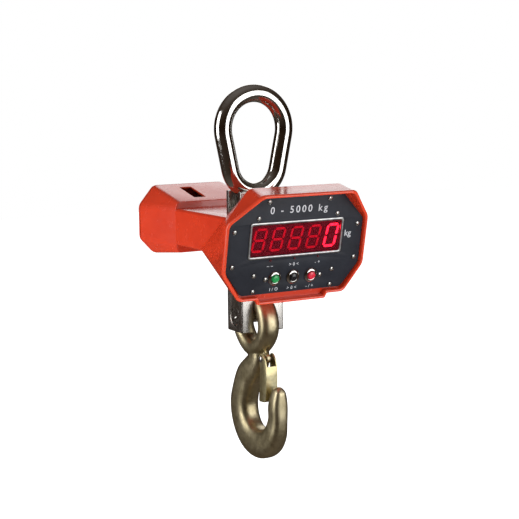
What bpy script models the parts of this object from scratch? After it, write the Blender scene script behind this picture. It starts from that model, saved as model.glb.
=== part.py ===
"""Crane scale: a weighing block between a lifting ring and a safety hook, with
a painted housing round it that carries the display at the front and the
battery at the back.

Frame: metres, +Z up, the display looks towards -Y, +X is to its right.  The
origin is the inner crown of the lifting ring, where the scale is hung.
Everything below is laid out from the middle of the weighing block and shifted
once, in place(), by CROWN_Z.
"""

import math

import bmesh
import bpy
import numpy as np
from mathutils import Vector
from mathutils.geometry import delaunay_2d_cdt

# ---------------------------------------------------------------- dimensions
GAP = 0.0003            # daylight between two pieces that touch
PIN_FIT = 0.0004        # radial clearance of a pin in its bore
SLOT_FIT = 0.0007       # clearance each side of a tongue in its slot
SCREW_FIT = 0.00035     # radial clearance round a screw shank

CELL_W = 0.068          # weighing block, across X
CELL_D = 0.042          # weighing block, across Y
CELL_H = 0.200          # weighing block, over Z
CELL_EDGE = 0.0015      # edge chamfer of the weighing block
PIN_R = 0.0105          # both load pins
PIN_SINK = 0.0035       # how far the pins sit below the block faces
PIN_SINK_R = PIN_R + 0.0030         # counterbore radius
RING_PIN_Z = CELL_H / 2 - 0.0380    # ring pin, below the top of the block
HOOK_PIN_Z = 0.0212 - CELL_H / 2    # hook pin, above the foot of the block

RING_WIRE = 0.025       # bar diameter of the lifting ring
RING_TOP_R = 0.0495     # bar centre radius of the upper bow
RING_LOW_R = 0.0394     # bar centre radius of the lower bow
RING_TOP_Z = RING_PIN_Z + 0.1240    # centre height of the upper bow
RING_LOW_Z = RING_PIN_Z + 0.0754    # centre height of the lower bow
RING_BOSS_R = 0.0215    # radius of the forged boss under the ring
RING_SLOT_FLOOR = RING_PIN_Z - RING_BOSS_R - 0.0035
CROWN_Z = RING_TOP_Z + RING_TOP_R - RING_WIRE / 2

HOOK_EYE_T = 0.030      # thickness of the hook eye across X
HOOK_EYE_R = 0.0230     # radius of the hole in the hook eye
HOOK_EYE_LIMB = 0.0250  # width of the limb round the eye
HOOK_EYE_PEAR = 0.22    # how much the eye narrows towards the neck
HOOK_EYE_Z = HOOK_PIN_Z - HOOK_EYE_R + PIN_R + GAP
HOOK_SLOT_TOP = HOOK_EYE_Z + HOOK_EYE_R + HOOK_EYE_LIMB + 0.0050

LATCH_Y = -0.0290       # latch pivot
LATCH_Z = HOOK_PIN_Z - 0.0585
LATCH_BOLT_R = 0.0028
LATCH_LUG_R = 0.0075
LATCH_LUG_W = 0.0065
LATCH_W = LATCH_LUG_W + 0.0120      # latch outside width, room for the spring
LATCH_T = 0.0018        # latch sheet

WALL = 0.0026           # housing wall
REAR_Y = 0.1990         # rear end of the housing
REAR_BOX = 0.0790       # length of the battery box
NECK_Y = REAR_Y - REAR_BOX          # where it steps down to the waist
WAIST_HW = 0.0640       # waist half width
WAIST_TOP = 0.0675
WAIST_LOW = 0.0130
PANEL_TILT = math.radians(11.2)
PANEL_Y = -0.0997       # panel face at the button row
PANEL_Z = -0.0112
PANEL_T = 0.0020
GASKET_T = 0.0010
LEDGE_T = 0.0025
HOOD = 0.0250           # how far the top of the rim stands out
LIP = 0.0050            # how far the sides of the rim stand out
PCB_DEPTH = 0.0200      # face of the circuit board behind the panel face
PCB_T = 0.0016
DIGIT_PITCH = 0.0285
DIGIT_W = 0.0272
DIGIT_H = 0.0400
DIGIT_V = 0.0542        # middle of the figures above the button row
DIGITS_X = 0.0006       # figures sit a little right of the middle
DIGITS_HW = 2 * DIGIT_PITCH + DIGIT_W / 2
WINDOW_HW = DIGITS_HW + 0.0019
WINDOW_V0 = DIGIT_V - DIGIT_H / 2 - 0.0036
WINDOW_V1 = DIGIT_V + DIGIT_H / 2 + 0.0036
BUTTON_X = 0.0288
CAP_R = 0.0054
BEZEL_TUBE_R = CAP_R + 0.0016
BEZEL_R = CAP_R + 0.0046
CAP_FIT = 0.0003
CAP_TRAVEL = 0.0020
COVER_T = 0.0025
COVER_SHANK_R = 0.0018
COVER_HEAD_R = 0.0036

# the housing outline, corner by corner: bottom, low side, high side, top
REAR_OUT = [(0.0610, -0.0070), (0.0840, 0.0170), (0.0840, 0.0675), (0.0594, 0.0965)]
STEP_OUT = [
    (WAIST_HW - 0.0040, 0.0016),
    (WAIST_HW, WAIST_LOW),
    (WAIST_HW, WAIST_TOP),
    (WAIST_HW - 0.0040, 0.0770),
]
RIM_OUT = [(0.0840, -0.0280), (0.1120, 0.0115), (0.1120, 0.0805), (0.0725, 0.1240)]
PANEL_OUT = [(0.0800, -0.0210), (0.1060, 0.0130), (0.1060, 0.0770), (0.0670, 0.1170)]
LEDGE_IN = [(0.0700, -0.0110), (0.0920, 0.0180), (0.0920, 0.0720), (0.0600, 0.1020)]
NOTCH_HW = 0.0570       # half width of the drop in the lower lip
NOTCH_DROP = 0.0070

EDGE_SCREWS = [(0.0478, 0.1075), (0.0973, 0.0690), (0.0971, 0.0208), (0.0618, -0.0164)]
BOARD_SCREWS = [(0.0621, 0.0855), (0.0623, 0.0058)]
PLATE_SCREWS = [(BUTTON_X + BEZEL_R + 0.0048, -0.0006)]
COVER_SCREWS = [(0.0664, 0.0775), (0.0675, 0.0098)]

# hook: (y, z from the hook pin, width in the plane of the hook, thickness)
HOOK_LINE = [
    (-0.0060, -0.0482, 0.0330, 0.0260),
    (-0.0075, -0.0632, 0.0320, 0.0270),
    (0.0035, -0.0772, 0.0380, 0.0290),
    (0.0190, -0.0922, 0.0410, 0.0310),
    (0.0290, -0.1132, 0.0410, 0.0330),
    (0.0345, -0.1342, 0.0425, 0.0340),
    (0.0310, -0.1552, 0.0430, 0.0340),
    (0.0190, -0.1732, 0.0435, 0.0340),
    (0.0010, -0.1832, 0.0440, 0.0340),
    (-0.0200, -0.1847, 0.0430, 0.0330),
    (-0.0390, -0.1772, 0.0385, 0.0310),
    (-0.0525, -0.1622, 0.0330, 0.0280),
    (-0.0585, -0.1422, 0.0275, 0.0240),
    (-0.0590, -0.1242, 0.0265, 0.0250),
    (-0.0605, -0.1112, 0.0235, 0.0225),
    (-0.0628, -0.1002, 0.0180, 0.0170),
    (-0.0640, -0.0952, 0.0090, 0.0090),
]

AX = np.eye(3)


# ------------------------------------------------------------------ the basics
def clear_scene():
    for obj in list(bpy.data.objects):
        bpy.data.objects.remove(obj, do_unlink=True)
    for mesh in list(bpy.data.meshes):
        bpy.data.meshes.remove(mesh)


def finish(name, hex_colour, metallic, roughness, emission=0.0):
    """A Principled material in one flat colour."""
    mat = bpy.data.materials.new(name)
    mat.use_nodes = True
    shader = mat.node_tree.nodes["Principled BSDF"]
    srgb = [int(hex_colour[i:i + 2], 16) / 255 for i in (0, 2, 4)]
    rgb = [c / 12.92 if c <= 0.04045 else ((c + 0.055) / 1.055) ** 2.4 for c in srgb]
    shader.inputs["Base Color"].default_value = (*rgb, 1.0)
    shader.inputs["Metallic"].default_value = metallic
    shader.inputs["Roughness"].default_value = roughness
    if emission:
        shader.inputs["Emission Color"].default_value = (*rgb, 1.0)
        shader.inputs["Emission Strength"].default_value = emission
    mat.diffuse_color = (*rgb, 1.0)
    return mat


def place(name, verts, faces, mat, pivot=None, angle=32.0):
    """One closed piece.  With a pivot, its origin sits on its joint axis."""
    pivot = np.zeros(3) if pivot is None else np.asarray(pivot, float)
    mesh = bpy.data.meshes.new(name)
    local = np.asarray(verts, float) - pivot
    mesh.from_pydata([tuple(v) for v in local], [], [tuple(f) for f in faces])
    tidy(mesh)
    obj = bpy.data.objects.new(name, mesh)
    bpy.context.scene.collection.objects.link(obj)
    obj.location = Vector(pivot) + Vector((0.0, 0.0, -CROWN_Z))
    if mat is not None:
        mesh.materials.append(mat)
    shade(mesh, angle)
    return obj


def tidy(mesh):
    """Faces all turned outwards."""
    bm = bmesh.new()
    bm.from_mesh(mesh)
    bmesh.ops.remove_doubles(bm, verts=bm.verts, dist=1e-7)
    bmesh.ops.recalc_face_normals(bm, faces=bm.faces)
    bm.to_mesh(mesh)
    bm.free()


def shade(mesh, angle):
    mesh.polygons.foreach_set("use_smooth", [True] * len(mesh.polygons))
    mesh.set_sharp_from_angle(angle=math.radians(angle))


def combine(obj, tool, operation, angle=32.0):
    """Cut tool from obj, or join it on, and drop the tool."""
    mod = obj.modifiers.new("combine", "BOOLEAN")
    mod.operation = operation
    mod.solver = "EXACT"
    mod.object = tool
    graph = bpy.context.evaluated_depsgraph_get()
    mesh = bpy.data.meshes.new_from_object(obj.evaluated_get(graph))
    obj.modifiers.clear()
    old = obj.data
    name = old.name
    obj.data = mesh
    bpy.data.meshes.remove(old)
    mesh.name = name
    bpy.data.objects.remove(tool, do_unlink=True)
    clean_joint(mesh)
    shade(mesh, angle)


def clean_joint(mesh):
    """Merge the crumbs a cut leaves and make flat faces flat again."""
    bm = bmesh.new()
    bm.from_mesh(mesh)
    bmesh.ops.remove_doubles(bm, verts=bm.verts, dist=2e-6)
    bmesh.ops.dissolve_degenerate(bm, edges=bm.edges, dist=2e-6)
    bmesh.ops.recalc_face_normals(bm, faces=bm.faces)
    bm.to_mesh(mesh)
    bm.free()


def cut(obj, *tools):
    for tool in tools:
        combine(obj, tool, "DIFFERENCE")


def join(obj, *tools):
    for tool in tools:
        combine(obj, tool, "UNION")


# ------------------------------------------------------------- shape makers
def grid_faces(rows, cols, wrap_rows):
    faces = []
    for i in range(rows if wrap_rows else rows - 1):
        k = (i + 1) % rows
        for j in range(cols):
            m = (j + 1) % cols
            faces.append((i * cols + j, i * cols + m, k * cols + m, k * cols + j))
    return faces


def tube_of(loops):
    """Loops of equal length skinned in a closed ring: a hollow shell."""
    loops = np.asarray(loops, float)
    return loops.reshape(-1, 3), grid_faces(len(loops), loops.shape[1], True)


def bar_of(loops):
    """Loops of equal length skinned in a row and capped at both ends."""
    loops = np.asarray(loops, float)
    rows, cols = loops.shape[:2]
    faces = grid_faces(rows, cols, False)
    faces.append(tuple(range(cols))[::-1])
    faces.append(tuple((rows - 1) * cols + j for j in range(cols)))
    return loops.reshape(-1, 3), faces


def circle(radius, count, centre=(0.0, 0.0), start=0.0):
    a = start + np.arange(count) * 2 * math.pi / count
    return np.stack([centre[0] + radius * np.cos(a), centre[1] + radius * np.sin(a)], 1)


def turn(profile, origin, axis, count, hollow=False):
    """Turn (radius, height) points about an axis through the origin given."""
    axis = np.asarray(axis, float)
    side = AX[1] if abs(axis[0]) > 0.9 else AX[0]
    u = side - axis * (side @ axis)
    u = u / np.linalg.norm(u)
    v = np.cross(axis, u)
    ring = circle(1.0, count)
    loops = []
    for r, h in profile:
        flat = ring * r
        loops.append(np.asarray(origin) + flat[:, :1] * u + flat[:, 1:] * v + h * axis)
    return tube_of(loops) if hollow else bar_of(loops)


def flat_frame(origin, u, v):
    u = np.asarray(u, float)
    v = np.asarray(v, float)
    return np.asarray(origin, float), u, v, np.cross(u, v)


def in_frame(points, height, frame):
    origin, u, v, n = frame
    points = np.asarray(points, float)
    return origin + points[:, :1] * u + points[:, 1:] * v + height * n


def fill(loops):
    """Triangles inside the first loop and outside the others."""
    flat = [Vector(p) for loop in loops for p in loop]
    edges = []
    start = 0
    for loop in loops:
        n = len(loop)
        edges += [(start + i, start + (i + 1) % n) for i in range(n)]
        start += n
    out = delaunay_2d_cdt(flat, edges, [], 1, 1e-7)
    back = {}
    for new, olds in enumerate(out[3]):
        for old in olds:
            back[new] = min(back.get(new, old), old)
    tris = [tuple(back[i] for i in face) for face in out[2]]
    pts = np.concatenate(loops)
    middle = np.array([pts[list(t)].mean(0) for t in tris])
    keep = inside(middle, loops[0])
    for hole in loops[1:]:
        keep &= ~inside(middle, hole)
    return [t for t, k in zip(tris, keep) if k]


def inside(points, loop):
    """Even-odd test of points against a closed outline."""
    a = np.asarray(loop, float)
    b = np.roll(a, -1, 0)
    x = points[:, :1]
    y = points[:, 1:]
    spans = (a[:, 1] > y) != (b[:, 1] > y)
    rise = np.where(b[:, 1] == a[:, 1], 1.0, b[:, 1] - a[:, 1])
    hit = a[:, 0] + (y - a[:, 1]) / rise * (b[:, 0] - a[:, 0])
    return (spans & (x < hit)).sum(1) % 2 == 1


def plate(outer, holes, low, high, frame):
    """A flat sheet between two heights with holes through it."""
    loops = [outer, *holes]
    tris = fill(loops)
    flat = np.concatenate(loops)
    count = len(flat)
    verts = np.concatenate([in_frame(flat, low, frame), in_frame(flat, high, frame)])
    faces = [tuple(reversed(t)) for t in tris]
    faces += [tuple(i + count for i in t) for t in tris]
    start = 0
    for loop in loops:
        n = len(loop)
        for i in range(n):
            a = start + i
            b = start + (i + 1) % n
            faces.append((a, b, b + count, a + count))
        start += n
    return verts, faces


def engraved(outer, pockets, low, high, depth, frame):
    """A block with shallow pockets in its upper face."""
    loops = [outer, *pockets]
    tris = fill(loops)
    flat = np.concatenate(loops)
    count = len(flat)
    base = in_frame(outer, low, frame)
    verts = [in_frame(flat, high, frame), base]
    faces = [tuple(t) for t in tris]
    n = len(outer)
    faces.append(tuple(count + i for i in range(n))[::-1])
    for i in range(n):
        j = (i + 1) % n
        faces.append((count + i, count + j, j, i))
    start = n
    floor = count + n
    for loop in pockets:
        m = len(loop)
        verts.append(in_frame(loop, high - depth, frame))
        faces.append(tuple(floor + i for i in range(m)))
        for i in range(m):
            j = (i + 1) % m
            faces.append((start + i, start + j, floor + j, floor + i))
        start += m
        floor += m
    return np.concatenate(verts), faces


def box_shape(lo, hi, chamfer=0.0):
    """A box, its four upright edges chamfered."""
    (x0, y0, z0), (x1, y1, z1) = lo, hi
    c = chamfer
    if c:
        flat = [(x0 + c, y0), (x1 - c, y0), (x1, y0 + c), (x1, y1 - c)]
        flat += [(x1 - c, y1), (x0 + c, y1), (x0, y1 - c), (x0, y0 + c)]
    else:
        flat = [(x0, y0), (x1, y0), (x1, y1), (x0, y1)]
    flat = np.array(flat)
    loops = [np.c_[flat, np.full(len(flat), z)] for z in (z0, z1)]
    return bar_of(loops)


def rounded(corners, radius, steps):
    """Soften each corner of a closed outline; keeps the point count fixed."""
    corners = np.asarray(corners, float)
    radius = np.broadcast_to(radius, (len(corners),))
    out = []
    for i, p in enumerate(corners):
        a = corners[i - 1] - p
        b = corners[(i + 1) % len(corners)] - p
        la = np.linalg.norm(a)
        lb = np.linalg.norm(b)
        cut_back = min(radius[i], 0.42 * la, 0.42 * lb)
        p0 = p + a / la * cut_back
        p2 = p + b / lb * cut_back
        for t in np.linspace(0, 1, steps):
            out.append((1 - t) ** 2 * p0 + 2 * t * (1 - t) * p + t * t * p2)
    return np.array(out)


def inset(corners, distance):
    """Move every side of a flat outline inwards (outline runs left-handed or
    right-handed; distance is positive towards the inside)."""
    pts = np.asarray(corners, float)
    nxt = np.roll(pts, -1, 0)
    area = 0.5 * np.sum(pts[:, 0] * nxt[:, 1] - nxt[:, 0] * pts[:, 1])
    edge = nxt - pts
    edge = edge / np.linalg.norm(edge, axis=1)[:, None]
    normal = np.stack([-edge[:, 1], edge[:, 0]], 1) * np.sign(area)
    out = []
    for i in range(len(pts)):
        n0 = normal[i - 1]
        n1 = normal[i]
        out.append(pts[i] + (n0 + n1) / (1 + n0 @ n1) * distance)
    return np.array(out)


def sweep(line, power=2.4, count=14):
    """Skin a bar in the YZ plane from (y, z, width, thickness) stations."""
    line = np.asarray(line, float)
    along = np.gradient(line[:, :2], axis=0)
    along = along / np.linalg.norm(along, axis=1)[:, None]
    across = np.stack([along[:, 1], -along[:, 0]], 1)
    a = np.arange(count) * 2 * math.pi / count
    ca = np.sign(np.cos(a)) * np.abs(np.cos(a)) ** (2 / power)
    sa = np.sign(np.sin(a)) * np.abs(np.sin(a)) ** (2 / power)
    loops = []
    for (y, z, w, t), n in zip(line, across):
        loops.append(np.c_[sa * t / 2, y + ca * w / 2 * n[0], z + ca * w / 2 * n[1]])
    return bar_of(loops)


def resample(line, count):
    """Pass a smooth curve through the stations (Catmull-Rom)."""
    line = np.asarray(line, float)
    pad = np.vstack([2 * line[0] - line[1], line, 2 * line[-1] - line[-2]])
    s = np.linspace(0, len(line) - 1, count)
    i = np.minimum(s.astype(int), len(line) - 2)
    t = (s - i)[:, None]
    p0, p1, p2, p3 = (pad[i + k] for k in range(4))
    cubic = 2 * p1 + (p2 - p0) * t + (2 * p0 - 5 * p1 + 4 * p2 - p3) * t * t
    cubic += (3 * p1 - p0 - 3 * p2 + p3) * t ** 3
    return cubic / 2


# ----------------------------------------------------------- the panel's frame
UP = np.array([0.0, -math.sin(PANEL_TILT), math.cos(PANEL_TILT)])
OUT = np.array([0.0, -math.cos(PANEL_TILT), -math.sin(PANEL_TILT)])
PANEL_ORIGIN = np.array([0.0, PANEL_Y, PANEL_Z])
PANEL = flat_frame(PANEL_ORIGIN, AX[0], UP)


def on_panel(x, v, out):
    return PANEL_ORIGIN + x * AX[0] + v * UP + out * OUT


def mirrored(points):
    """Both sides of the centre line, left one first."""
    return [(s * x, v) for x, v in points for s in (-1, 1)]


def eight(half):
    """Eight corners from the four on the right, counter-clockwise."""
    right = [tuple(p) for p in half]
    return np.array(right + [(-x, v) for x, v in reversed(right)])


def twelve(half, hw, drop):
    """Eight corners plus the four of the drop in the bottom edge."""
    pts = eight(half)
    low = pts[0][1]
    notch = [(-hw, low), (-hw + 0.003, low - drop), (hw - 0.003, low - drop), (hw, low)]
    return np.vstack([pts, notch])


def notch_y(corners8):
    """Add four points on the flat bottom edge so every loop matches."""
    p7 = corners8[7]
    p0 = corners8[0]
    wide = min(NOTCH_HW, 0.80 * p0[0])
    share = [(x - p7[0]) / (p0[0] - p7[0]) for x in (-wide, -wide + 0.003, wide - 0.003, wide)]
    return np.vstack([corners8, [p7 + (p0 - p7) * s for s in share]])


# -------------------------------------------------------------------- housing
ROUND = [0.006] * 8 + [0.0018] * 4


def flat_loop(half, y, shrink=0.0):
    pts = inset(eight(half), shrink) if shrink else eight(half)
    full = np.c_[pts[:, 0], np.full(8, y), pts[:, 1]]
    return rounded(notch_y(full), ROUND, 4)


def skew_loop(corners, shrink=0.0):
    """corners: four (x, y, z) on the right side, bottom first."""
    right = np.asarray(corners, float)
    left = right[::-1] * [-1, 1, 1]
    full = np.vstack([right, left])
    if shrink:
        flat = inset(full[:, [0, 2]], shrink)
        full[:, 0] = flat[:, 0]
        full[:, 2] = flat[:, 1]
    return rounded(notch_y(full), ROUND, 4)


def rim_out(v, level_top=HOOD, level=LIP):
    """Height of the rim above the panel: low at the sides, rising at the top."""
    lo = RIM_OUT[2][1]
    hi = RIM_OUT[3][1]
    t = min(max((v - lo) / (hi - lo), 0.0), 1.0)
    return level + (level_top - level) * t


def rim_loop(shrink, lift, floor=None):
    pts = inset(twelve(RIM_OUT, NOTCH_HW, NOTCH_DROP), shrink)
    outs = [rim_out(v) + lift for v in twelve(RIM_OUT, NOTCH_HW, NOTCH_DROP)[:, 1]]
    if floor is not None:
        outs = [floor] * 12
    full = [on_panel(x, v, o) for (x, v), o in zip(pts, outs)]
    return rounded(full, ROUND, 4)


def panel_loop(half, out, shrink=0.0):
    pts = inset(eight(half), shrink) if shrink else eight(half)
    full = np.array([on_panel(x, v, out) for x, v in pts])
    return rounded(notch_y(full), ROUND, 4)


def head_corners(back):
    """Corners of the head a share of the way from the rim to the waist."""
    low, low_side, high_side, top = (np.array(on_panel(x, v, LIP - 0.008)) for x, v in RIM_OUT)
    waist = np.array(waist_end())
    low = low + (waist[0] - low) * back
    low_side = low_side + (waist[1] - low_side) * back
    high_side = high_side + (waist[2] - high_side) * back
    crest = np.array(on_panel(RIM_OUT[3][0], RIM_OUT[3][1], HOOD - 0.040))
    return [low, low_side, high_side, crest]


def waist_end():
    hw = WAIST_HW
    return [
        (hw - 0.003, 0.046, WAIST_LOW),
        (hw, 0.043, WAIST_LOW + 0.003),
        (hw, -0.0265, WAIST_TOP - 0.003),
        (hw - 0.003, -0.0265, WAIST_TOP),
    ]


def waist_start(y):
    hw = WAIST_HW
    return [
        (hw - 0.003, y, WAIST_LOW),
        (hw, y, WAIST_LOW + 0.003),
        (hw, y, WAIST_TOP - 0.003),
        (hw - 0.003, y, WAIST_TOP),
    ]


def between(first, last, steps=4):
    """Loops blended from first to last, so the skin stays even."""
    return [first + (last - first) * k / steps for k in range(steps + 1)]


def outer_loops():
    loops = [flat_loop(REAR_OUT, REAR_Y)]
    loops.append(flat_loop(STEP_OUT, NECK_Y))
    loops.append(skew_loop(waist_start(NECK_Y - 0.0008)))
    loops += between(skew_loop(waist_end()), skew_loop(head_corners(0.16)))
    loops.append(rim_loop(0.0008, -0.0075))
    loops.append(rim_loop(0.0, -0.0030))
    loops.append(rim_loop(0.0006, -0.0008))
    loops.append(rim_loop(0.0022, 0.0))
    loops.append(rim_loop(0.0038, -0.0008))
    loops.append(rim_loop(0.0044, -0.0026))
    return loops


def inner_loops():
    ledge = -PANEL_T - GASKET_T - 2 * GAP
    loops = [rim_loop(0.0046, 0.0, ledge)]
    loops.append(panel_loop(LEDGE_IN, ledge))
    loops.append(panel_loop(LEDGE_IN, ledge - LEDGE_T))
    head = skew_loop(head_corners(0.16), WALL + 0.0010)
    loops += between(head, skew_loop(waist_end(), WALL))
    loops.append(skew_loop(waist_start(NECK_Y + WALL - 0.0008), WALL))
    loops.append(flat_loop(STEP_OUT, NECK_Y + WALL, WALL))
    loops.append(flat_loop(REAR_OUT, REAR_Y - LEDGE_T, WALL))
    loops.append(flat_loop(REAR_OUT, REAR_Y - LEDGE_T, 0.014))
    loops.append(flat_loop(REAR_OUT, REAR_Y, 0.014))
    return loops


def cylinder_tool(origin, axis, radius, low, high, count=16):
    verts, faces = turn([(radius, low), (radius, high)], origin, axis, count)
    return place("tool", verts, faces, None)


def box_tool(lo, hi):
    verts, faces = box_shape(lo, hi)
    return place("tool", verts, faces, None)


def make_housing(paint):
    verts, faces = tube_of(outer_loops() + inner_loops())
    shell = place("main_housing", verts, faces, paint)
    fit = 0.0012
    hw = CELL_W / 2 + fit
    hd = CELL_D / 2 + fit
    cut(shell, box_tool((-hw, -hd, -0.080), (hw, hd, 0.120)))
    for x, v in mirrored(EDGE_SCREWS):
        spot = on_panel(x, v, 0.0)
        cut(shell, cylinder_tool(spot, OUT, 0.0013 + SCREW_FIT, -0.009, -0.0015, 10))
    for x, z in mirrored(COVER_SCREWS):
        spot = (x, REAR_Y, z)
        cut(shell, cylinder_tool(spot, AX[1], COVER_SHANK_R + SCREW_FIT, -0.005, 0.003, 12))
    cut(shell, cylinder_tool(SOCKET, SOCKET_AXIS, 0.0055 + GAP, -0.012, 0.012, 16))
    cut(shell, slot_tool())
    return shell


# the socket sits in the sloping underside of the head, on its left
SOCKET = np.array([-0.0560, -0.0300, -0.0161])
SOCKET_AXIS = np.array([0.0, 0.346, -0.938]) / np.linalg.norm([0.0, 0.346, -0.938])


def slot_tool():
    """The long shallow recess in the sloping top of the rear box."""
    run = REAR_Y - NECK_Y
    rise = REAR_OUT[3][1] - STEP_OUT[3][1]
    along = np.array([0.0, run, rise]) / math.hypot(run, rise)
    start = np.array([0.0, NECK_Y, STEP_OUT[3][1]])
    frame = flat_frame(start, AX[0], along)
    flat = np.array([(-0.024, 0.016), (-0.004, 0.016), (-0.004, 0.066), (-0.024, 0.066)])
    verts, faces = plate(flat, [], -0.0060, 0.010, frame)
    return place("tool", verts, faces, None)


# ----------------------------------------------------------- weighing block
def make_cell(steel):
    w = CELL_W / 2
    d = CELL_D / 2
    h = CELL_H / 2
    c = CELL_EDGE
    flat = np.array([(-w + c, -d), (w - c, -d), (w, -d + c), (w, d - c)])
    flat = np.vstack([flat, -flat])
    loops = []
    for z, s in ((-h, 1 - c / w), (-h + c, 1.0), (h - c, 1.0), (h, 1 - c / w)):
        loops.append(np.c_[flat * s, np.full(8, z)])
    verts, faces = bar_of(loops)
    cell = place("load_cell", verts, faces, steel)
    ring_slot = RING_WIRE / 2 + SLOT_FIT
    cut(cell, box_tool((-0.05, -ring_slot, RING_SLOT_FLOOR), (0.05, ring_slot, 0.15)))
    hook_slot = HOOK_EYE_T / 2 + SLOT_FIT
    cut(cell, box_tool((-hook_slot, -0.05, -0.15), (hook_slot, 0.05, HOOK_SLOT_TOP)))
    bore_both_ends(cell, (0, 0, RING_PIN_Z), AX[1], d)
    bore_both_ends(cell, (0, 0, HOOK_PIN_Z), AX[0], w)
    cut(cell, box_tool((-0.014, -0.05, -0.016), (0.014, -d + 0.006, 0.016)))
    return cell


def bore_both_ends(cell, centre, axis, half):
    cut(cell, cylinder_tool(centre, axis, PIN_R + PIN_FIT, -0.06, 0.06, 24))
    sink = PIN_SINK_R
    cut(cell, cylinder_tool(centre, axis, sink, half - PIN_SINK, 0.06, 24))
    cut(cell, cylinder_tool(centre, axis, sink, -0.06, -half + PIN_SINK, 24))


def make_pin(name, centre, axis, half, steel):
    """A load pin: headed at one end, grooved for a circlip at the other."""
    end = half - 0.0008
    groove = half - PIN_SINK + 0.0004
    r = PIN_R
    head = PIN_SINK_R - 0.0008
    seat = half - PIN_SINK + GAP
    profile = [(head - 0.0008, -end), (head, -end + 0.0008), (head, -seat), (r, -seat)]
    profile += [(r, groove), (r - 0.0012, groove), (r - 0.0012, groove + 0.0014)]
    profile += [(r, groove + 0.0014), (r, end - 0.0008), (r - 0.0008, end)]
    verts, faces = turn(profile, centre, axis, 20)
    return place(name, verts, faces, steel)


def make_circlip(name, centre, axis, half, side, steel):
    """An open spring-steel ring that sits in the pin groove."""
    groove = half - PIN_SINK + 0.0004
    a = np.linspace(math.radians(25), math.radians(335), 21)
    inner = PIN_R - 0.0012 + 0.00025
    outer = PIN_SINK_R - 0.0007
    ring = [(outer * math.cos(t), outer * math.sin(t)) for t in a]
    ring += [(inner * math.cos(t), inner * math.sin(t)) for t in a[::-1]]
    u = AX[1] if abs(axis[0]) > 0.9 else AX[0]
    v = np.cross(axis, u)
    frame = flat_frame(centre, u, v)
    low = groove + 0.0003
    high = groove + 0.0011
    verts, faces = plate(np.array(ring), [], side * low, side * high, frame)
    return place(name, verts, faces, steel)


def make_gauge_parts(steel, cable):
    """The lid over the strain gauge pocket and the lead to the board."""
    d = CELL_D / 2
    frame = flat_frame((0, -d + 0.0058, 0), AX[0], AX[2])
    lid = rounded([(-0.0137, -0.0157), (0.0137, -0.0157), (0.0137, 0.0157), (-0.0137, 0.0157)], 0.002, 3)
    verts, faces = plate(lid, [], 0.0, 0.0015, frame)
    place("gauge_cover", verts, faces, steel)
    a = np.array([0.0, -d + 0.0036, 0.008])
    b = on_panel(0.0, 0.020, -PCB_DEPTH - PCB_T - GAP)
    path = [a, a + [0, -0.008, 0], a + [0, -0.022, -0.004], b + [0, 0.020, 0.006], b + [0, 0.008, 0.0016], b]
    place_tube("sensor_cable", path, 0.0018, cable)


def place_tube(name, path, radius, mat, count=20, sides=7):
    pts = resample(path, count)
    along = np.gradient(pts, axis=0)
    along = along / np.linalg.norm(along, axis=1)[:, None]
    side = np.cross(along, AX[0])
    side = side / np.linalg.norm(side, axis=1)[:, None]
    other = np.cross(along, side)
    ring = circle(radius, sides)
    loops = [p + ring[:, :1] * u + ring[:, 1:] * v for p, u, v in zip(pts, side, other)]
    verts, faces = bar_of(loops)
    return place(name, verts, faces, mat)


# ---------------------------------------------------------------------- ring
def ring_line(count=44):
    """Two bows of different radius joined by straight tangents."""
    lean = math.asin((RING_TOP_R - RING_LOW_R) / (RING_TOP_Z - RING_LOW_Z))
    top = np.linspace(-lean, math.pi + lean, count // 2 + 3)
    low = np.linspace(math.pi + lean, 2 * math.pi - lean, count // 2 - 3)
    pts = [(RING_TOP_R * math.cos(a), RING_TOP_Z + RING_TOP_R * math.sin(a)) for a in top]
    pts += [(RING_LOW_R * math.cos(a), RING_LOW_Z + RING_LOW_R * math.sin(a)) for a in low]
    return np.array(pts)


def make_ring(chrome):
    pts = ring_line()
    along = np.roll(pts, -1, 0) - np.roll(pts, 1, 0)
    along = along / np.linalg.norm(along, axis=1)[:, None]
    across = np.stack([along[:, 1], -along[:, 0]], 1)
    ring = circle(RING_WIRE / 2, 12)
    loops = []
    for (x, z), n in zip(pts, across):
        loops.append(np.c_[x + ring[:, 0] * n[0], ring[:, 1], z + ring[:, 0] * n[1]])
    verts, faces = tube_of(loops)
    obj = place("lifting_ring", verts, faces, chrome)
    join(obj, ring_boss())
    cut(obj, cylinder_tool((0, 0, RING_PIN_Z), AX[1], PIN_R + PIN_FIT, -0.03, 0.03, 24))
    return obj


def ring_boss():
    """The forged tongue below the ring that takes the pin."""
    a = np.radians(np.linspace(180, 360, 15))
    flat = [(RING_BOSS_R * math.cos(t), RING_PIN_Z + RING_BOSS_R * math.sin(t)) for t in a]
    neck = [(0.0205, 0.0160), (0.0185, 0.0350), (-0.0185, 0.0350), (-0.0205, 0.0160)]
    flat += [(x, RING_PIN_Z + z) for x, z in neck]
    frame = flat_frame((0, 0, 0), AX[0], AX[2])
    half = RING_WIRE / 2 - SLOT_FIT
    verts, faces = plate(np.array(flat), [], -half, half, frame)
    return place("tool", verts, faces, None)


# ---------------------------------------------------------------------- hook
def make_hook(zinc):
    pivot = (0, 0, HOOK_PIN_Z)
    line = resample(HOOK_LINE, 31) + [0.0, HOOK_PIN_Z, 0.0, 0.0]
    verts, faces = sweep(line, power=3.0)
    obj = place("hook", verts, faces, zinc)
    join(obj, eye_ring())
    lug, lug_faces = latch_lug()
    join(obj, place("tool", lug, lug_faces, None))
    cut(obj, cylinder_tool((0, LATCH_Y, LATCH_Z), AX[0], LATCH_BOLT_R + 0.0003, -0.03, 0.03, 14))
    return move_origin(obj, pivot)


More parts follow.
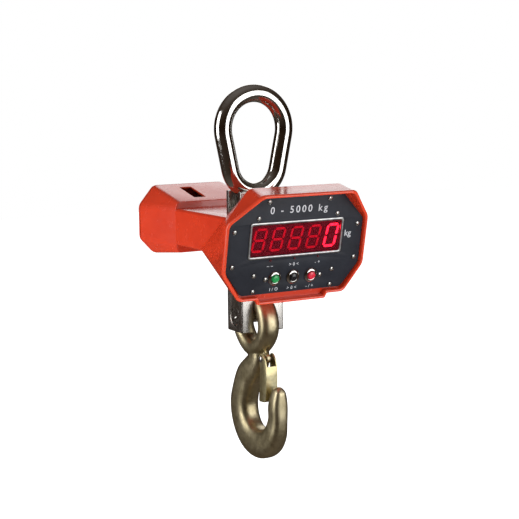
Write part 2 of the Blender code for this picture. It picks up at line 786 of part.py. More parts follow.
def eye_ring():
    centre = HOOK_EYE_R + HOOK_EYE_LIMB / 2
    a = np.arange(30) * 2 * math.pi / 30
    ring = circle(1.0, 12)
    p = 2 / 2.4
    sx = np.sign(ring[:, 1]) * np.abs(ring[:, 1]) ** p * HOOK_EYE_T / 2
    sr = np.sign(ring[:, 0]) * np.abs(ring[:, 0]) ** p * HOOK_EYE_LIMB / 2
    loops = []
    for t in a:
        r = centre + sr
        pear = 1.0 - HOOK_EYE_PEAR * max(0.0, -math.sin(t)) ** 2
        loops.append(np.c_[sx, r * math.cos(t) * pear, HOOK_EYE_Z + r * math.sin(t)])
    verts, faces = tube_of(loops)
    return place("tool", verts, faces, None)


def latch_lug():
    """The small ear forged on the front of the neck for the latch bolt."""
    a = np.radians(np.linspace(100, 290, 12))
    flat = [(LATCH_Y + LATCH_LUG_R * math.cos(t), LATCH_Z + LATCH_LUG_R * math.sin(t)) for t in a]
    root = [(0.0185, -0.0140), (0.0265, -0.0020), (0.0185, 0.0120)]
    flat += [(LATCH_Y + y, LATCH_Z + z) for y, z in root]
    frame = flat_frame((0, 0, 0), AX[1], AX[2])
    return plate(np.array(flat), [], -LATCH_LUG_W / 2, LATCH_LUG_W / 2, frame)


def move_origin(obj, pivot):
    shift = Vector(pivot)
    for vert in obj.data.vertices:
        vert.co -= shift
    obj.location = Vector((0, 0, -CROWN_Z)) + shift
    return obj


def from_latch(points):
    """Points given from the latch pivot, in the plane of the hook."""
    return np.array([(LATCH_Y + y, LATCH_Z + z) for y, z in points])


def latch_outline():
    """Side view of the latch: web at the front, cheeks reaching back."""
    front = [(-0.0133, -0.0060), (-0.0150, -0.0200), (-0.0145, -0.0400), (-0.0115, -0.0610)]
    rear = [(0.0060, -0.0625), (0.0040, -0.0400), (0.0030, -0.0240), (0.0028, -0.0120)]
    top = [(0.0046, -0.0030), (0.0040, 0.0030), (0.0005, 0.0070), (-0.0050, 0.0070), (-0.0100, 0.0020)]
    return from_latch(front + rear + top)


def make_latch(sheet):
    """Pressed channel: two cheeks and the web between them, one sheet."""
    frame = flat_frame((0, 0, 0), AX[1], AX[2])
    outline = latch_outline()
    half = LATCH_W / 2
    verts, faces = plate(outline, [], -half, half, frame)
    obj = place("latch", verts, faces, sheet)
    inner = latch_hollow()
    verts, faces = plate(inner, [], -half + LATCH_T, half - LATCH_T, frame)
    cut(obj, place("tool", verts, faces, None))
    cut(obj, cylinder_tool((0, LATCH_Y, LATCH_Z), AX[0], LATCH_BOLT_R + 0.0003, -0.03, 0.03, 14))
    return move_origin(obj, (0, LATCH_Y, LATCH_Z))


def latch_hollow():
    """What the press leaves open behind the web and above it."""
    t = LATCH_T
    front = [(-0.0200, -0.0065), (-0.0138 + t, -0.0105), (-0.0150 + t, -0.0200), (-0.0145 + t, -0.0400)]
    rear = [(-0.0108 + t, -0.0660), (0.0185, -0.0660), (0.0185, 0.0180), (-0.0200, 0.0180)]
    return from_latch(front + rear)


def make_latch_bolt(steel):
    """A round-headed rivet through both cheeks and the lug."""
    half = LATCH_W / 2 + GAP
    r = LATCH_BOLT_R
    side = [(r * 0.8, half + 0.0022), (r + 0.0016, half + 0.0015), (r + 0.0020, half), (r, half)]
    profile = [(a, -b) for a, b in side] + side[::-1]
    verts, faces = turn(profile, (0, LATCH_Y, LATCH_Z), AX[0], 16)
    return place("latch_bolt", verts, faces, steel)


def make_latch_spring(steel):
    """Torsion spring coiled on the bolt between lug and cheek."""
    wire = 0.0004
    coil = LATCH_BOLT_R + 0.0003 + wire + 0.0006
    start = LATCH_LUG_W / 2 + 0.0008
    t = np.linspace(0, 2.5 * 2 * math.pi, 31)
    x = start + (t / t[-1]) * (LATCH_W / 2 - LATCH_T - start - 0.0008)
    y = LATCH_Y + coil * np.cos(t)
    z = LATCH_Z + coil * np.sin(t)
    pts = np.stack([x, y, z], 1)
    tail = np.array([[x[0], LATCH_Y + coil + 0.0002, LATCH_Z - 0.0060]])
    head = np.array([[x[-1], LATCH_Y - coil - 0.0006, LATCH_Z - 0.0080]])
    turned = np.vstack([tail, pts, head])
    return place_wire("latch_spring", turned, wire, steel)


def place_wire(name, pts, radius, mat, sides=5):
    along = np.gradient(pts, axis=0)
    along = along / np.linalg.norm(along, axis=1)[:, None]
    side = np.cross(along, AX[0])
    side = side / np.linalg.norm(side, axis=1)[:, None]
    other = np.cross(along, side)
    ring = circle(radius, sides)
    loops = [p + ring[:, :1] * u + ring[:, 1:] * v for p, u, v in zip(pts, side, other)]
    verts, faces = bar_of(loops)
    return place(name, verts, faces, mat)


# --------------------------------------------------------------------- screws
def pan_screw(name, spot, axis, shank_r, head_r, head_h, length, seat, mat):
    """Pan head with a cross recess, shank through the sheet."""
    top = seat + head_h
    profile = [(shank_r, seat - length), (shank_r, seat), (head_r, seat)]
    profile += [(head_r, seat + head_h * 0.35), (head_r * 0.80, seat + head_h * 0.82)]
    profile += [(head_r * 0.45, top)]
    verts, faces = turn(profile, spot, axis, 10)
    screw = place(name, verts, faces, mat)
    cut(screw, cross_tool(spot, axis, head_r * 0.55, head_r * 0.13, top))
    return screw


def cross_tool(spot, axis, reach, half, top):
    side = AX[0]
    flat = [(reach, -half), (reach, half), (half, half), (half, reach), (-half, reach), (-half, half)]
    flat += [(-reach, half), (-reach, -half), (-half, -half), (-half, -reach), (half, -reach), (half, -half)]
    v = np.cross(axis, side)
    frame = (np.asarray(spot, float), side, v, np.asarray(axis, float))
    verts, faces = plate(np.array(flat), [], top - reach * 0.7, top + 0.002, frame)
    return place("tool", verts, faces, None)


def make_panel_screws(steel):
    number = 1
    for group, length in ((EDGE_SCREWS, 0.0085), (BOARD_SCREWS, 0.0225), (PLATE_SCREWS, 0.0060)):
        for x, v in mirrored(group):
            spot = on_panel(x, v, 0.0)
            name = f"panel_screw_{number:02d}"
            pan_screw(name, spot, OUT, 0.0013, 0.0031, 0.0017, length, GAP, steel)
            number += 1


def make_cover_screws(steel):
    """Countersunk, a hair below the cover, so the back is one flat face."""
    face = COVER_T + GASKET_T + 2 * GAP - 0.0001
    slope = COVER_HEAD_R - COVER_SHANK_R
    profile = [(COVER_SHANK_R, face - slope - 0.0070), (COVER_SHANK_R, face - slope)]
    profile += [(COVER_HEAD_R, face - 0.0001), (COVER_HEAD_R - 0.0001, face)]
    for number, (x, z) in enumerate(mirrored(COVER_SCREWS), 1):
        spot = (x, REAR_Y, z)
        verts, faces = turn(profile, spot, AX[1], 12)
        screw = place(f"cover_screw_{number}", verts, faces, steel)
        cut(screw, cross_tool(spot, AX[1], COVER_HEAD_R * 0.55, COVER_HEAD_R * 0.13, face))


def sink_cover_screws(cover):
    """Conical seats for the countersunk heads, a gap wider all round."""
    face = COVER_T + GASKET_T + 2 * GAP
    hole = COVER_SHANK_R + SCREW_FIT
    mouth = COVER_HEAD_R + 0.0001 + 1.5 * GAP
    seat = [(hole, face - (mouth - hole)), (mouth, face), (mouth + 0.001, face + 0.001)]
    for x, z in mirrored(COVER_SCREWS):
        verts, faces = turn(seat, (x, REAR_Y, z), AX[1], 12)
        cut(cover, place("tool", verts, faces, None))


# ---------------------------------------------------------------- front panel
def holes_at(points, radius, count):
    return [circle(radius, count, p) for p in points]


def panel_holes():
    screws = mirrored(EDGE_SCREWS) + mirrored(BOARD_SCREWS) + mirrored(PLATE_SCREWS)
    holes = holes_at(screws, 0.0013 + SCREW_FIT, 10)
    holes += holes_at([(-BUTTON_X, 0), (0, 0), (BUTTON_X, 0)], BEZEL_TUBE_R + GAP, 20)
    holes += holes_at([(-0.038, 0.0262), (0, 0.0262), (0.038, 0.0262)], 0.0015 + GAP, 10)
    holes.append(window_outline(0.0))
    return holes


def window_outline(shrink):
    hw = WINDOW_HW - shrink
    lo = WINDOW_V0 + shrink
    hi = WINDOW_V1 - shrink
    return rounded([(-hw, lo), (hw, lo), (hw, hi), (-hw, hi)], 0.0030, 4)


def panel_outline(grow=0.0):
    return rounded(inset(eight(PANEL_OUT), -grow), 0.004, 4)


def make_panel(plastic, rubber):
    verts, faces = plate(panel_outline(), panel_holes(), -PANEL_T, 0.0, PANEL)
    place("display_panel", verts, faces, plastic)
    outer = inset(eight(PANEL_OUT), 0.0010)
    inner = inset(eight(LEDGE_IN), -0.0010)
    holes = holes_at(mirrored(EDGE_SCREWS), 0.0013 + SCREW_FIT, 10)
    holes.append(rounded(inner, 0.004, 4))
    high = -PANEL_T - GAP
    verts, faces = plate(rounded(outer, 0.004, 4), holes, high - GASKET_T, high, PANEL)
    place("panel_gasket", verts, faces, rubber)


def make_window(filter_mat, silver):
    # the filter drops in behind the frame; the frame's flange laps the panel
    verts, faces = plate(window_outline(0.0022), [], -0.0016, -0.0002, PANEL)
    place("display_window", verts, faces, filter_mat)
    wide = WINDOW_HW + 0.0016
    lo = WINDOW_V0 - 0.0016
    hi = WINDOW_V1 + 0.0016
    lap = rounded([(-wide, lo), (wide, lo), (wide, hi), (-wide, hi)], 0.0042, 4)
    loops = []
    for outline, out in (
        (window_outline(GAP), -PANEL_T),
        (window_outline(GAP), GAP),
        (lap, GAP),
        (lap, 0.0007),
        (window_outline(-0.0008), 0.0011),
        (window_outline(0.0008), 0.0009),
        (window_outline(0.0018), 0.0005),
        (window_outline(0.0018), -PANEL_T),
    ):
        loops.append(in_frame(outline, out, PANEL))
    verts, faces = tube_of(loops)
    place("window_frame", verts, faces, silver)


def segment(cx, cv, length, half, upright, slant):
    """One bar of a seven-segment figure, pointed at both ends."""
    run = length / 2
    base = [(-run, 0), (-run + half, -half), (run - half, -half), (run, 0), (run - half, half), (-run + half, half)]
    pts = []
    for a, b in base:
        x, v = (b, a) if upright else (a, b)
        x = cx + (-x if upright else x)
        pts.append((x + slant * (cv + v), cv + v))
    return np.array(pts)


def digit_segments():
    """Seven bars and the point, about the middle of the module."""
    slant = math.tan(math.radians(10))
    w = 0.0165
    h = 0.0300
    bar = 0.0016
    gap = 0.0005
    across = w - 2 * gap
    up = h / 2 - 2 * gap
    spots = [(0, h / 2, across, False), (0, 0, across, False), (0, -h / 2, across, False)]
    for sx in (-1, 1):
        for sz in (-1, 1):
            spots.append((sx * w / 2, sz * h / 4, up, True))
    shapes = [segment(cx, cv, run - 2 * bar * 0.2, bar, upright, slant) for cx, cv, run, upright in spots]
    shapes.append(circle(0.0014, 8, (0.0108, -h / 2)))
    return shapes


def make_digits(plastic):
    for number in range(5):
        x = DIGITS_X + (number - 2) * DIGIT_PITCH
        frame = flat_frame(on_panel(x, DIGIT_V, 0.0), AX[0], UP)
        hw = DIGIT_W / 2
        hh = DIGIT_H / 2
        outer = np.array([(-hw, -hh), (hw, -hh), (hw, hh), (-hw, hh)])
        low = -PCB_DEPTH + GAP
        verts, faces = engraved(outer, digit_segments(), low, -0.0034, 0.0004, frame)
        place(f"led_digit_{number + 1}", verts, faces, plastic)


def make_board(board):
    hw = DIGITS_HW + abs(DIGITS_X) + 0.0006
    outer = rounded([(-hw, -0.001), (hw, -0.001), (hw, 0.092), (-hw, 0.092)], 0.003, 3)
    holes = holes_at(mirrored(BOARD_SCREWS), 0.0013 + SCREW_FIT, 10)
    holes += holes_at([(-BUTTON_X, 0.0115), (BUTTON_X, 0.0115)], 0.0020, 8)
    low = -PCB_DEPTH - PCB_T
    verts, faces = plate(outer, holes, low, -PCB_DEPTH, PANEL)
    place("display_board", verts, faces, board)


def make_lamps(plastic):
    for number, x in enumerate((-0.038, 0.0, 0.038), 1):
        spot = on_panel(x, 0.0262, 0.0)
        r = 0.0015
        profile = [(r + 0.0005, -PCB_DEPTH + GAP), (r + 0.0005, -PANEL_T - GAP)]
        profile += [(r, -PANEL_T - GAP), (r, 0.0004), (r * 0.75, 0.0010), (r * 0.3, 0.0013)]
        verts, faces = turn(profile, spot, OUT, 12)
        place(f"status_led_{number}", verts, faces, plastic)


def make_buttons(chrome, caps, plastic):
    for (name, mat), x in zip(caps, (-BUTTON_X, 0.0, BUTTON_X)):
        spot = on_panel(x, 0.0, 0.0)
        tube = BEZEL_TUBE_R
        bore = CAP_R + CAP_FIT
        profile = [(bore, -0.0060), (tube, -0.0060), (tube, GAP), (BEZEL_R, GAP)]
        profile += [(BEZEL_R, 0.0010), (BEZEL_R - 0.0016, 0.0022), (BEZEL_R - 0.0032, 0.0026)]
        profile += [(bore + 0.0006, 0.0024), (bore, 0.0018)]
        verts, faces = turn(profile, spot, OUT, 20, hollow=True)
        place(f"bezel_{name}", verts, faces, chrome)
        cap = [(0.0022, -0.0076), (0.0022, -0.0026), (CAP_R, -0.0022), (CAP_R, 0.0040)]
        cap += [(CAP_R - 0.0005, 0.0047), (CAP_R * 0.6, 0.0052), (CAP_R * 0.25, 0.0053)]
        verts, faces = turn(cap, spot, OUT, 18)
        place(f"button_{name}", verts, faces, mat, pivot=spot)
        frame = flat_frame(spot, AX[0], UP)
        hw = 0.0060
        flat = rounded([(-hw, -hw), (hw, -hw), (hw, hw), (-hw, hw)], 0.0010, 3)
        well = [circle(0.0027, 12)]
        verts, faces = engraved(flat, well, -0.0185, -0.0066, 0.0045, frame)
        place(f"switch_{name}", verts, faces, plastic)


# ----------------------------------------------------------------- rear parts
def make_rear(paint, rubber, dark, steel):
    outline = rounded(eight(REAR_OUT), 0.006, 4)
    frame = flat_frame((0, REAR_Y, 0), AX[0], AX[2])
    holes = holes_at(mirrored(COVER_SCREWS), COVER_SHANK_R + SCREW_FIT, 12)
    low = GASKET_T + 2 * GAP
    verts, faces = plate(outline, holes, -low - COVER_T, -low, frame)
    sink_cover_screws(place("rear_cover", verts, faces, paint))
    outer = rounded(inset(eight(REAR_OUT), 0.0012), 0.006, 4)
    inner = rounded(inset(eight(REAR_OUT), 0.0130), 0.006, 4)
    verts, faces = plate(outer, [*holes, inner], -GAP - GASKET_T, -GAP, frame)
    place("cover_gasket", verts, faces, rubber)
    make_battery(dark, steel)


def make_battery(dark, steel):
    lo = np.array([-0.050, REAR_Y - 0.0605, 0.0100])
    hi = np.array([0.050, REAR_Y - 0.0135, 0.0720])
    verts, faces = box_shape(lo, hi, 0.0020)
    battery = place("battery_pack", verts, faces, dark)
    cut(battery, box_tool((-0.060, lo[1] - 0.0085, hi[2] - 0.0065), (0.060, lo[1] + 0.0025, hi[2] + 0.0080)))
    t = 0.0015
    tray = [(lo[1] - 0.002, 0.0056), (hi[1] + 0.004, 0.0056), (hi[1] + 0.004, 0.0400)]
    tray += [(hi[1] + 0.004 - t, 0.0400), (hi[1] + 0.004 - t, 0.0056 + t), (lo[1] - 0.002 + t, 0.0056 + t)]
    tray += [(lo[1] - 0.002 + t, 0.0300), (lo[1] - 0.002, 0.0300)]
    frame = flat_frame((0, 0, 0), AX[1], AX[2])
    verts, faces = plate(np.array(tray), [], -0.042, 0.042, frame)
    place("battery_tray", verts, faces, steel)


def make_brackets(steel):
    """Channels that carry the housing on the sides of the weighing block."""
    t = 0.0025
    x0 = CELL_W / 2 + GAP
    x1 = WAIST_HW - WALL - GAP
    flat = [(x0, -0.016), (x1, -0.016), (x1, 0.016), (x1 - t, 0.016)]
    flat += [(x1 - t, -0.016 + t), (x0 + t, -0.016 + t), (x0 + t, 0.016), (x0, 0.016)]
    for name, side in (("bracket_left", -1), ("bracket_right", 1)):
        pts = np.array(flat) * [side, 1]
        frame = flat_frame((0, 0, 0), AX[0], AX[1])
        verts, faces = plate(pts, [], 0.0245, 0.0500, frame)
        place(name, verts, faces, steel)


def make_socket(dark):
    r = 0.0055
    profile = [(0.0032, -0.0060), (r, -0.0060), (r, GAP), (0.0082, GAP), (0.0082, 0.0030)]
    profile += [(0.0072, 0.0052), (0.0050, 0.0066), (0.0036, 0.0066), (0.0032, 0.0050)]
    verts, faces = turn(profile, SOCKET, SOCKET_AXIS, 18, hollow=True)
    place("charge_socket", verts, faces, dark)


# ------------------------------------------------------------------- assembly
def main():
    clear_scene()
    paint = finish("painted_orange_red", "D8401F", 0.0, 0.30)
    chrome = finish("chrome", "D9DBDD", 1.0, 0.08)
    steel = finish("brushed_steel", "B7BABD", 1.0, 0.30)
    zinc = finish("yellow_zinc", "9A8F68", 1.0, 0.38)
    sheet = finish("latch_sheet", "CDBE86", 1.0, 0.34)
    plastic = finish("panel_grey", "3A3D46", 0.0, 0.42)
    black = finish("black_plastic", "141416", 0.0, 0.45)
    rubber = finish("rubber", "1B1B1B", 0.0, 0.80)
    red_filter = finish("red_filter", "5A0A14", 0.0, 0.12)
    segment_mat = finish("segment_red", "E02030", 0.0, 0.40, 1.5)
    board = finish("board_green", "1E5B36", 0.0, 0.55)
    green = finish("cap_green", "128A45", 0.0, 0.30)
    red = finish("cap_red", "C31732", 0.0, 0.30)
    make_ring(chrome)
    make_cell(chrome)
    half_d = CELL_D / 2
    half_w = CELL_W / 2
    up = (0, 0, RING_PIN_Z)
    down = (0, 0, HOOK_PIN_Z)
    make_pin("ring_pin", up, AX[1], half_d, steel)
    make_pin("hook_pin", down, AX[0], half_w, steel)
    make_circlip("ring_pin_clip", up, AX[1], half_d, 1, steel)
    make_circlip("hook_pin_clip", down, AX[0], half_w, 1, steel)
    make_gauge_parts(steel, rubber)
    make_housing(paint)
    make_panel(plastic, rubber)
    make_window(red_filter, steel)
    make_digits(segment_mat)
    make_board(board)
    make_lamps(red_filter)
    make_buttons(chrome, (("green", green), ("black", black), ("red", red)), black)
    make_panel_screws(steel)
    make_rear(paint, rubber, black, steel)
    make_cover_screws(steel)
    make_brackets(steel)
    make_socket(black)
    make_hook(zinc)
    make_latch(sheet)
    make_latch_bolt(steel)
    make_latch_spring(steel)


main()
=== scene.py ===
"""Crane scale, dressed for the studio.

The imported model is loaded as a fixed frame; smooth pieces are built over it,
every piece rides on its body, and each finish is a procedural material.
Metres, +Z up, the display looks towards -Y, the ring's inner crown is at the
origin.
"""

import math

import bmesh
import bpy
import numpy as np
from bpy.props import FloatProperty, PointerProperty, StringProperty
from bpy.types import Operator, Panel, PropertyGroup
from mathutils import Matrix, Vector


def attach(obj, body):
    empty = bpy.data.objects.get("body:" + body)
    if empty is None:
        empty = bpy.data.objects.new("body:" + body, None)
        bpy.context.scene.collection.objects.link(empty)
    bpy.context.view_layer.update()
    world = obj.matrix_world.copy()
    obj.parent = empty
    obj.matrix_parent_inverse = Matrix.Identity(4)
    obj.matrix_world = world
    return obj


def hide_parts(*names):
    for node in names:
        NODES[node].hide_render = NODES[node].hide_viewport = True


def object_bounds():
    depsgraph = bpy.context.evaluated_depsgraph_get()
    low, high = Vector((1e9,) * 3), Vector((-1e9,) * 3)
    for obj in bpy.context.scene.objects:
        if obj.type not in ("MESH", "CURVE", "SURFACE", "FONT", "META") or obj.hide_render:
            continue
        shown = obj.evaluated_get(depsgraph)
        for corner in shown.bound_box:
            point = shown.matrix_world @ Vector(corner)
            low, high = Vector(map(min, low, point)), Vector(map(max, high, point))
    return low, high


bl_info = {
    "name": "Crane scale",
    "version": (1, 0, 0),
    "blender": (4, 5, 0),
    "location": "3D View > Sidebar > Crane scale",
    "description": "Builds the ring, block, painted housing, display and hook of a crane scale",
    "category": "Add Mesh",
}

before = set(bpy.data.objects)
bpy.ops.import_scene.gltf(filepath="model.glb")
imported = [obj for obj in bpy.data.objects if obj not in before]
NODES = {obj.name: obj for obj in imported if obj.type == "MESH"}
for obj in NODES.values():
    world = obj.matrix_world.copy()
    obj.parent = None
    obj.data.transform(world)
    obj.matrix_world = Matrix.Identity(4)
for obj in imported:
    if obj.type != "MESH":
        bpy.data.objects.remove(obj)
CAD_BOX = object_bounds()

# ---------------------------------------------------------------- the layout
CROWN = 0.223           # inner crown of the ring above the middle of the block
WIRE = 0.0125           # radius of the ring bar
TOP_BOW = (0.0495, 0.1860)
LOW_BOW = (0.0394, 0.1374)
RING_PIN_Z = 0.0620
HOOK_PIN_Z = -0.0788
PIN_R = 0.0105
PIN_PLAY = 0.0004       # between a load pin and its bore, all round
BLOCK = (0.0340, 0.0210, 0.1000)
TILT = math.radians(11.2)
UP = np.array([0.0, -math.sin(TILT), math.cos(TILT)])
OUT = np.array([0.0, -math.cos(TILT), -math.sin(TILT)])
RIGHT = np.array([1.0, 0.0, 0.0])
PANEL_AT = np.array([0.0, -0.0997, -0.0112])

REAR_OUT = [(0.0610, -0.0070), (0.0840, 0.0170), (0.0840, 0.0675), (0.0594, 0.0965)]
STEP_OUT = [(0.0600, 0.0016), (0.0640, 0.0130), (0.0640, 0.0675), (0.0600, 0.0770)]
RIM_OUT = [(0.0840, -0.0280), (0.1120, 0.0115), (0.1120, 0.0805), (0.0725, 0.1240)]
PANEL_OUT = [(0.0800, -0.0210), (0.1060, 0.0130), (0.1060, 0.0770), (0.0670, 0.1170)]
LEDGE_IN = [(0.0700, -0.0110), (0.0920, 0.0180), (0.0920, 0.0720), (0.0600, 0.1020)]
WALL = 0.0026
REAR_Y = 0.1990
NECK_Y = 0.1200
WAIST_Y = (0.0460, 0.0430, -0.0265, -0.0265)
HOOD = 0.0250
LIP = 0.0050
NOTCH_HW = 0.0570
NOTCH_DROP = 0.0070
WINDOW = (0.0725, 0.0306, 0.0778)
DIGITS_X = 0.0006
DIGIT_PITCH = 0.0285
DIGIT_V = 0.0542
BUTTONS = (("green", -0.0288), ("black", 0.0), ("red", 0.0288))
LAMPS_X = (-0.0380, 0.0, 0.0380)
LAMPS_V = 0.0262
SCREWS = [(0.0478, 0.1075), (0.0973, 0.0690), (0.0971, 0.0208), (0.0618, -0.0164)]
SCREWS += [(0.0621, 0.0855), (0.0623, 0.0058), (0.0436, -0.0006)]
COVER_SCREWS = [(0.0664, 0.0775), (0.0675, 0.0098)]
SOCKET_AT = np.array([-0.0560, -0.0300, -0.0161])
SOCKET_AXIS = np.array([0.0, 0.346, -0.938]) / np.linalg.norm([0.0, 0.346, -0.938])
EYE_HOLE = 0.0230       # radius of the hole in the hook's eye
EYE_BAR = (0.0125, 0.0150)
EYE_PEAR = 0.22         # how much the eye narrows below its middle
LATCH_AT = (-0.0290, -0.1373)
LATCH_HALF = 0.00925
# Stations of the hook's middle line: y, z, width in its plane, thickness
HOOK_LINE = np.array([
    (-0.0060, -0.1270, 0.0330, 0.0260),
    (-0.0075, -0.1420, 0.0320, 0.0270),
    (0.0035, -0.1560, 0.0380, 0.0290),
    (0.0190, -0.1710, 0.0410, 0.0310),
    (0.0290, -0.1920, 0.0410, 0.0330),
    (0.0345, -0.2130, 0.0425, 0.0340),
    (0.0310, -0.2340, 0.0430, 0.0340),
    (0.0190, -0.2520, 0.0435, 0.0340),
    (0.0010, -0.2620, 0.0440, 0.0340),
    (-0.0200, -0.2635, 0.0430, 0.0330),
    (-0.0390, -0.2560, 0.0385, 0.0310),
    (-0.0525, -0.2410, 0.0330, 0.0280),
    (-0.0585, -0.2210, 0.0275, 0.0240),
    (-0.0590, -0.2030, 0.0265, 0.0250),
    (-0.0605, -0.1900, 0.0235, 0.0225),
    (-0.0628, -0.1790, 0.0180, 0.0170),
    (-0.0640, -0.1740, 0.0090, 0.0090),
])
CAMERA_AZIMUTH = math.radians(-30.6)
CAMERA_RISE = math.radians(7.9)
CAMERA_ROLL = math.radians(-0.56)
SENSOR_MM = 36.0
LENS_MM = 90.17341
FRAME_SHIFT = (0.00867052, 0.00096339115)


# ----------------------------------------------------------------- node tools
def linear(hex_colour):
    """sRGB hex to the linear colour that a shader takes."""
    srgb = np.array([int(hex_colour[i:i + 2], 16) for i in (0, 2, 4)]) / 255.0
    rgb = np.where(srgb <= 0.04045, srgb / 12.92, ((srgb + 0.055) / 1.055) ** 2.4)
    return (*rgb.tolist(), 1.0)


def node(tree, kind, settings=None, links=None, **values):
    """Add a node: settings are its own properties, links its sockets fed by
    other nodes' outputs, values its sockets by name, with _ for a space."""
    made = tree.nodes.new(kind)
    for key, value in (settings or {}).items():
        setattr(made, key, value)
    for key, value in values.items():
        made.inputs[key.replace("_", " ")].default_value = value
    for key, source in (links or {}).items():
        tree.links.new(source, made.inputs[key])
    return made


def new_finish(name, **sockets):
    """A material with one Principled shader; returns material, tree, shader."""
    mat = bpy.data.materials.new(name)
    mat.use_nodes = True
    tree = mat.node_tree
    shader = tree.nodes["Principled BSDF"]
    for key, value in sockets.items():
        shader.inputs[key.replace("_", " ")].default_value = value
    return mat, tree, shader


def feed(tree, shader, **sources):
    """Link each source to the shader's socket of that name."""
    for key, source in sources.items():
        tree.links.new(source, shader.inputs[key.replace("_", " ")])


def object_space(tree, size_mm, stretch=(1.0, 1.0, 1.0)):
    """Object coordinates scaled so that one unit of a pattern is size_mm."""
    where = node(tree, "ShaderNodeTexCoord")
    scale = tuple(1000.0 / size_mm * s for s in stretch)
    links = {"Vector": where.outputs["Object"]}
    return node(tree, "ShaderNodeMapping", links=links, Scale=scale).outputs["Vector"]


def mottle(tree, size_mm, detail=3.0, roughness=0.55, stretch=(1.0, 1.0, 1.0), distortion=0.0):
    """Noise whose patches are about size_mm across."""
    made = node(
        tree, "ShaderNodeTexNoise", links={"Vector": object_space(tree, size_mm, stretch)},
        Scale=1.0, Detail=detail, Roughness=roughness, Distortion=distortion,
    )
    return made.outputs["Fac"]


def ramp(tree, fac, *stops):
    """Colour ramp through (position, hex) stops."""
    made = node(tree, "ShaderNodeValToRGB", links={"Fac": fac})
    bar = made.color_ramp
    while len(bar.elements) < len(stops):
        bar.elements.new(0.5)
    for element, (at, colour) in zip(bar.elements, stops):
        element.position = at
        element.color = linear(colour)
    return made.outputs["Color"]


def spread(tree, fac, low, high, start=0.3, end=0.7):
    """A number running from low to high as fac runs from start to end."""
    limits = {"From_Min": start, "From_Max": end, "To_Min": low, "To_Max": high}
    return node(tree, "ShaderNodeMapRange", links={"Value": fac}, **limits).outputs["Result"]


def relief(tree, shader, height, depth_mm, strength=1.0, under=None):
    """Bump from a height field whose full range is depth_mm."""
    links = {"Height": height}
    if under is not None:
        links["Normal"] = under
    depth = depth_mm / 1000.0
    made = node(tree, "ShaderNodeBump", links=links, Strength=strength, Distance=depth)
    tree.links.new(made.outputs["Normal"], shader.inputs["Normal"])
    return made.outputs["Normal"]


def edge_wear_and_highlight(tree, size_mm=1.2, most=1.0):
    """Near most on outside edges, broken up by noise, 0 on flats: the mask of worn edges on the
    zinc, and of the painted highlight on the enamel's edges.
    """
    geo = node(tree, "ShaderNodeNewGeometry")
    sharp = spread(tree, geo.outputs["Pointiness"], 0.0, 1.0, 0.52, 0.60)
    patch = spread(tree, mottle(tree, size_mm, 4.0, 0.7), 0.0, most, 0.40, 0.62)
    return node(tree, "ShaderNodeMath", {"operation": "MULTIPLY"}, {0: sharp, 1: patch}).outputs[0]


def blend_colours(tree, fac, a, b):
    """From a to b as fac goes from 0 to 1; each is a hex colour or an output."""
    made = node(tree, "ShaderNodeMix", {"data_type": "RGBA"}, {0: fac})
    for slot, value in ((6, a), (7, b)):
        if isinstance(value, str):
            made.inputs[slot].default_value = linear(value)
        else:
            tree.links.new(value, made.inputs[slot])
    return made.outputs[2]


# ------------------------------------------------------------------- finishes
def orange_enamel(colour):
    """Stoving enamel on sheet steel, sprayed: a wet gloss over a faint orange
    peel about 3 mm across, slightly darker where the coat is thick, with a
    painted highlight of lighter orange on the outside edges."""
    mat, tree, shader = new_finish(
        "orange_stoving_enamel", Roughness=0.26, Coat_Weight=0.35, Coat_Roughness=0.06, IOR=1.5,
    )
    shade = ramp(tree, mottle(tree, 45.0, 2.0), (0.30, colour), (0.70, "BC3016"))
    # Painted highlight: the outside edges and the rim bead are blended to the lighter orange
    # F06A38.
    wear_and_highlight_edge = edge_wear_and_highlight(tree, 1.6, 0.70)
    gloss = spread(tree, mottle(tree, 9.0, 2.0, 0.5), 0.22, 0.28)
    feed(tree, shader, Base_Color=blend_colours(tree, wear_and_highlight_edge, shade, "F06A38"), Roughness=gloss)
    relief(tree, shader, mottle(tree, 3.0, 1.0, 0.5), 0.04, 0.06)
    return mat


def panel_print(colour):
    """Screen-printed polyester foil on the front panel: fine even grain of
    about 0.4 mm, drawn at 0.8 mm so that it shows, and a soft sheen."""
    mat, tree, shader = new_finish(
        "dark_grey_foil", Roughness=0.42, IOR=1.5, Specular_IOR_Level=0.25,
    )
    base = ramp(tree, mottle(tree, 30.0, 4.0, 0.6), (0.3, colour), (0.7, "23262E"))
    fleck = spread(tree, mottle(tree, 0.8, 2.0, 0.6), 0.0, 0.22, 0.55, 0.75)
    sheen = spread(tree, mottle(tree, 14.0, 4.0), 0.36, 0.50)
    feed(tree, shader, Base_Color=blend_colours(tree, fleck, base, "30343E"), Roughness=sheen)
    relief(tree, shader, mottle(tree, 0.8, 2.0), 0.03, 0.4)
    return mat


def mirror_chrome(name, tint, rough_low, rough_high, streak=(1.0, 1.0, 1.0)):
    """Bright nickel-chrome over forged steel: near mirror, with a slow wave
    from hand polishing and small dull scuffs where slings have rubbed."""
    mat, tree, shader = new_finish(name, Metallic=1.0, Roughness=0.08)
    base = ramp(tree, mottle(tree, 38.0, 3.0), (0.3, tint), (0.72, "CFCDC8"))
    scuff = spread(tree, mottle(tree, 3.0, 3.0, 0.6, streak), 0.0, 0.6, 0.58, 0.74)
    wipe = spread(tree, mottle(tree, 5.0, 3.0, 0.5, streak), rough_low, rough_high)
    feed(tree, shader, Base_Color=blend_colours(tree, scuff, base, "A9A49B"), Roughness=wipe)
    relief(tree, shader, mottle(tree, 22.0, 2.0), 0.10, 0.25)
    return mat


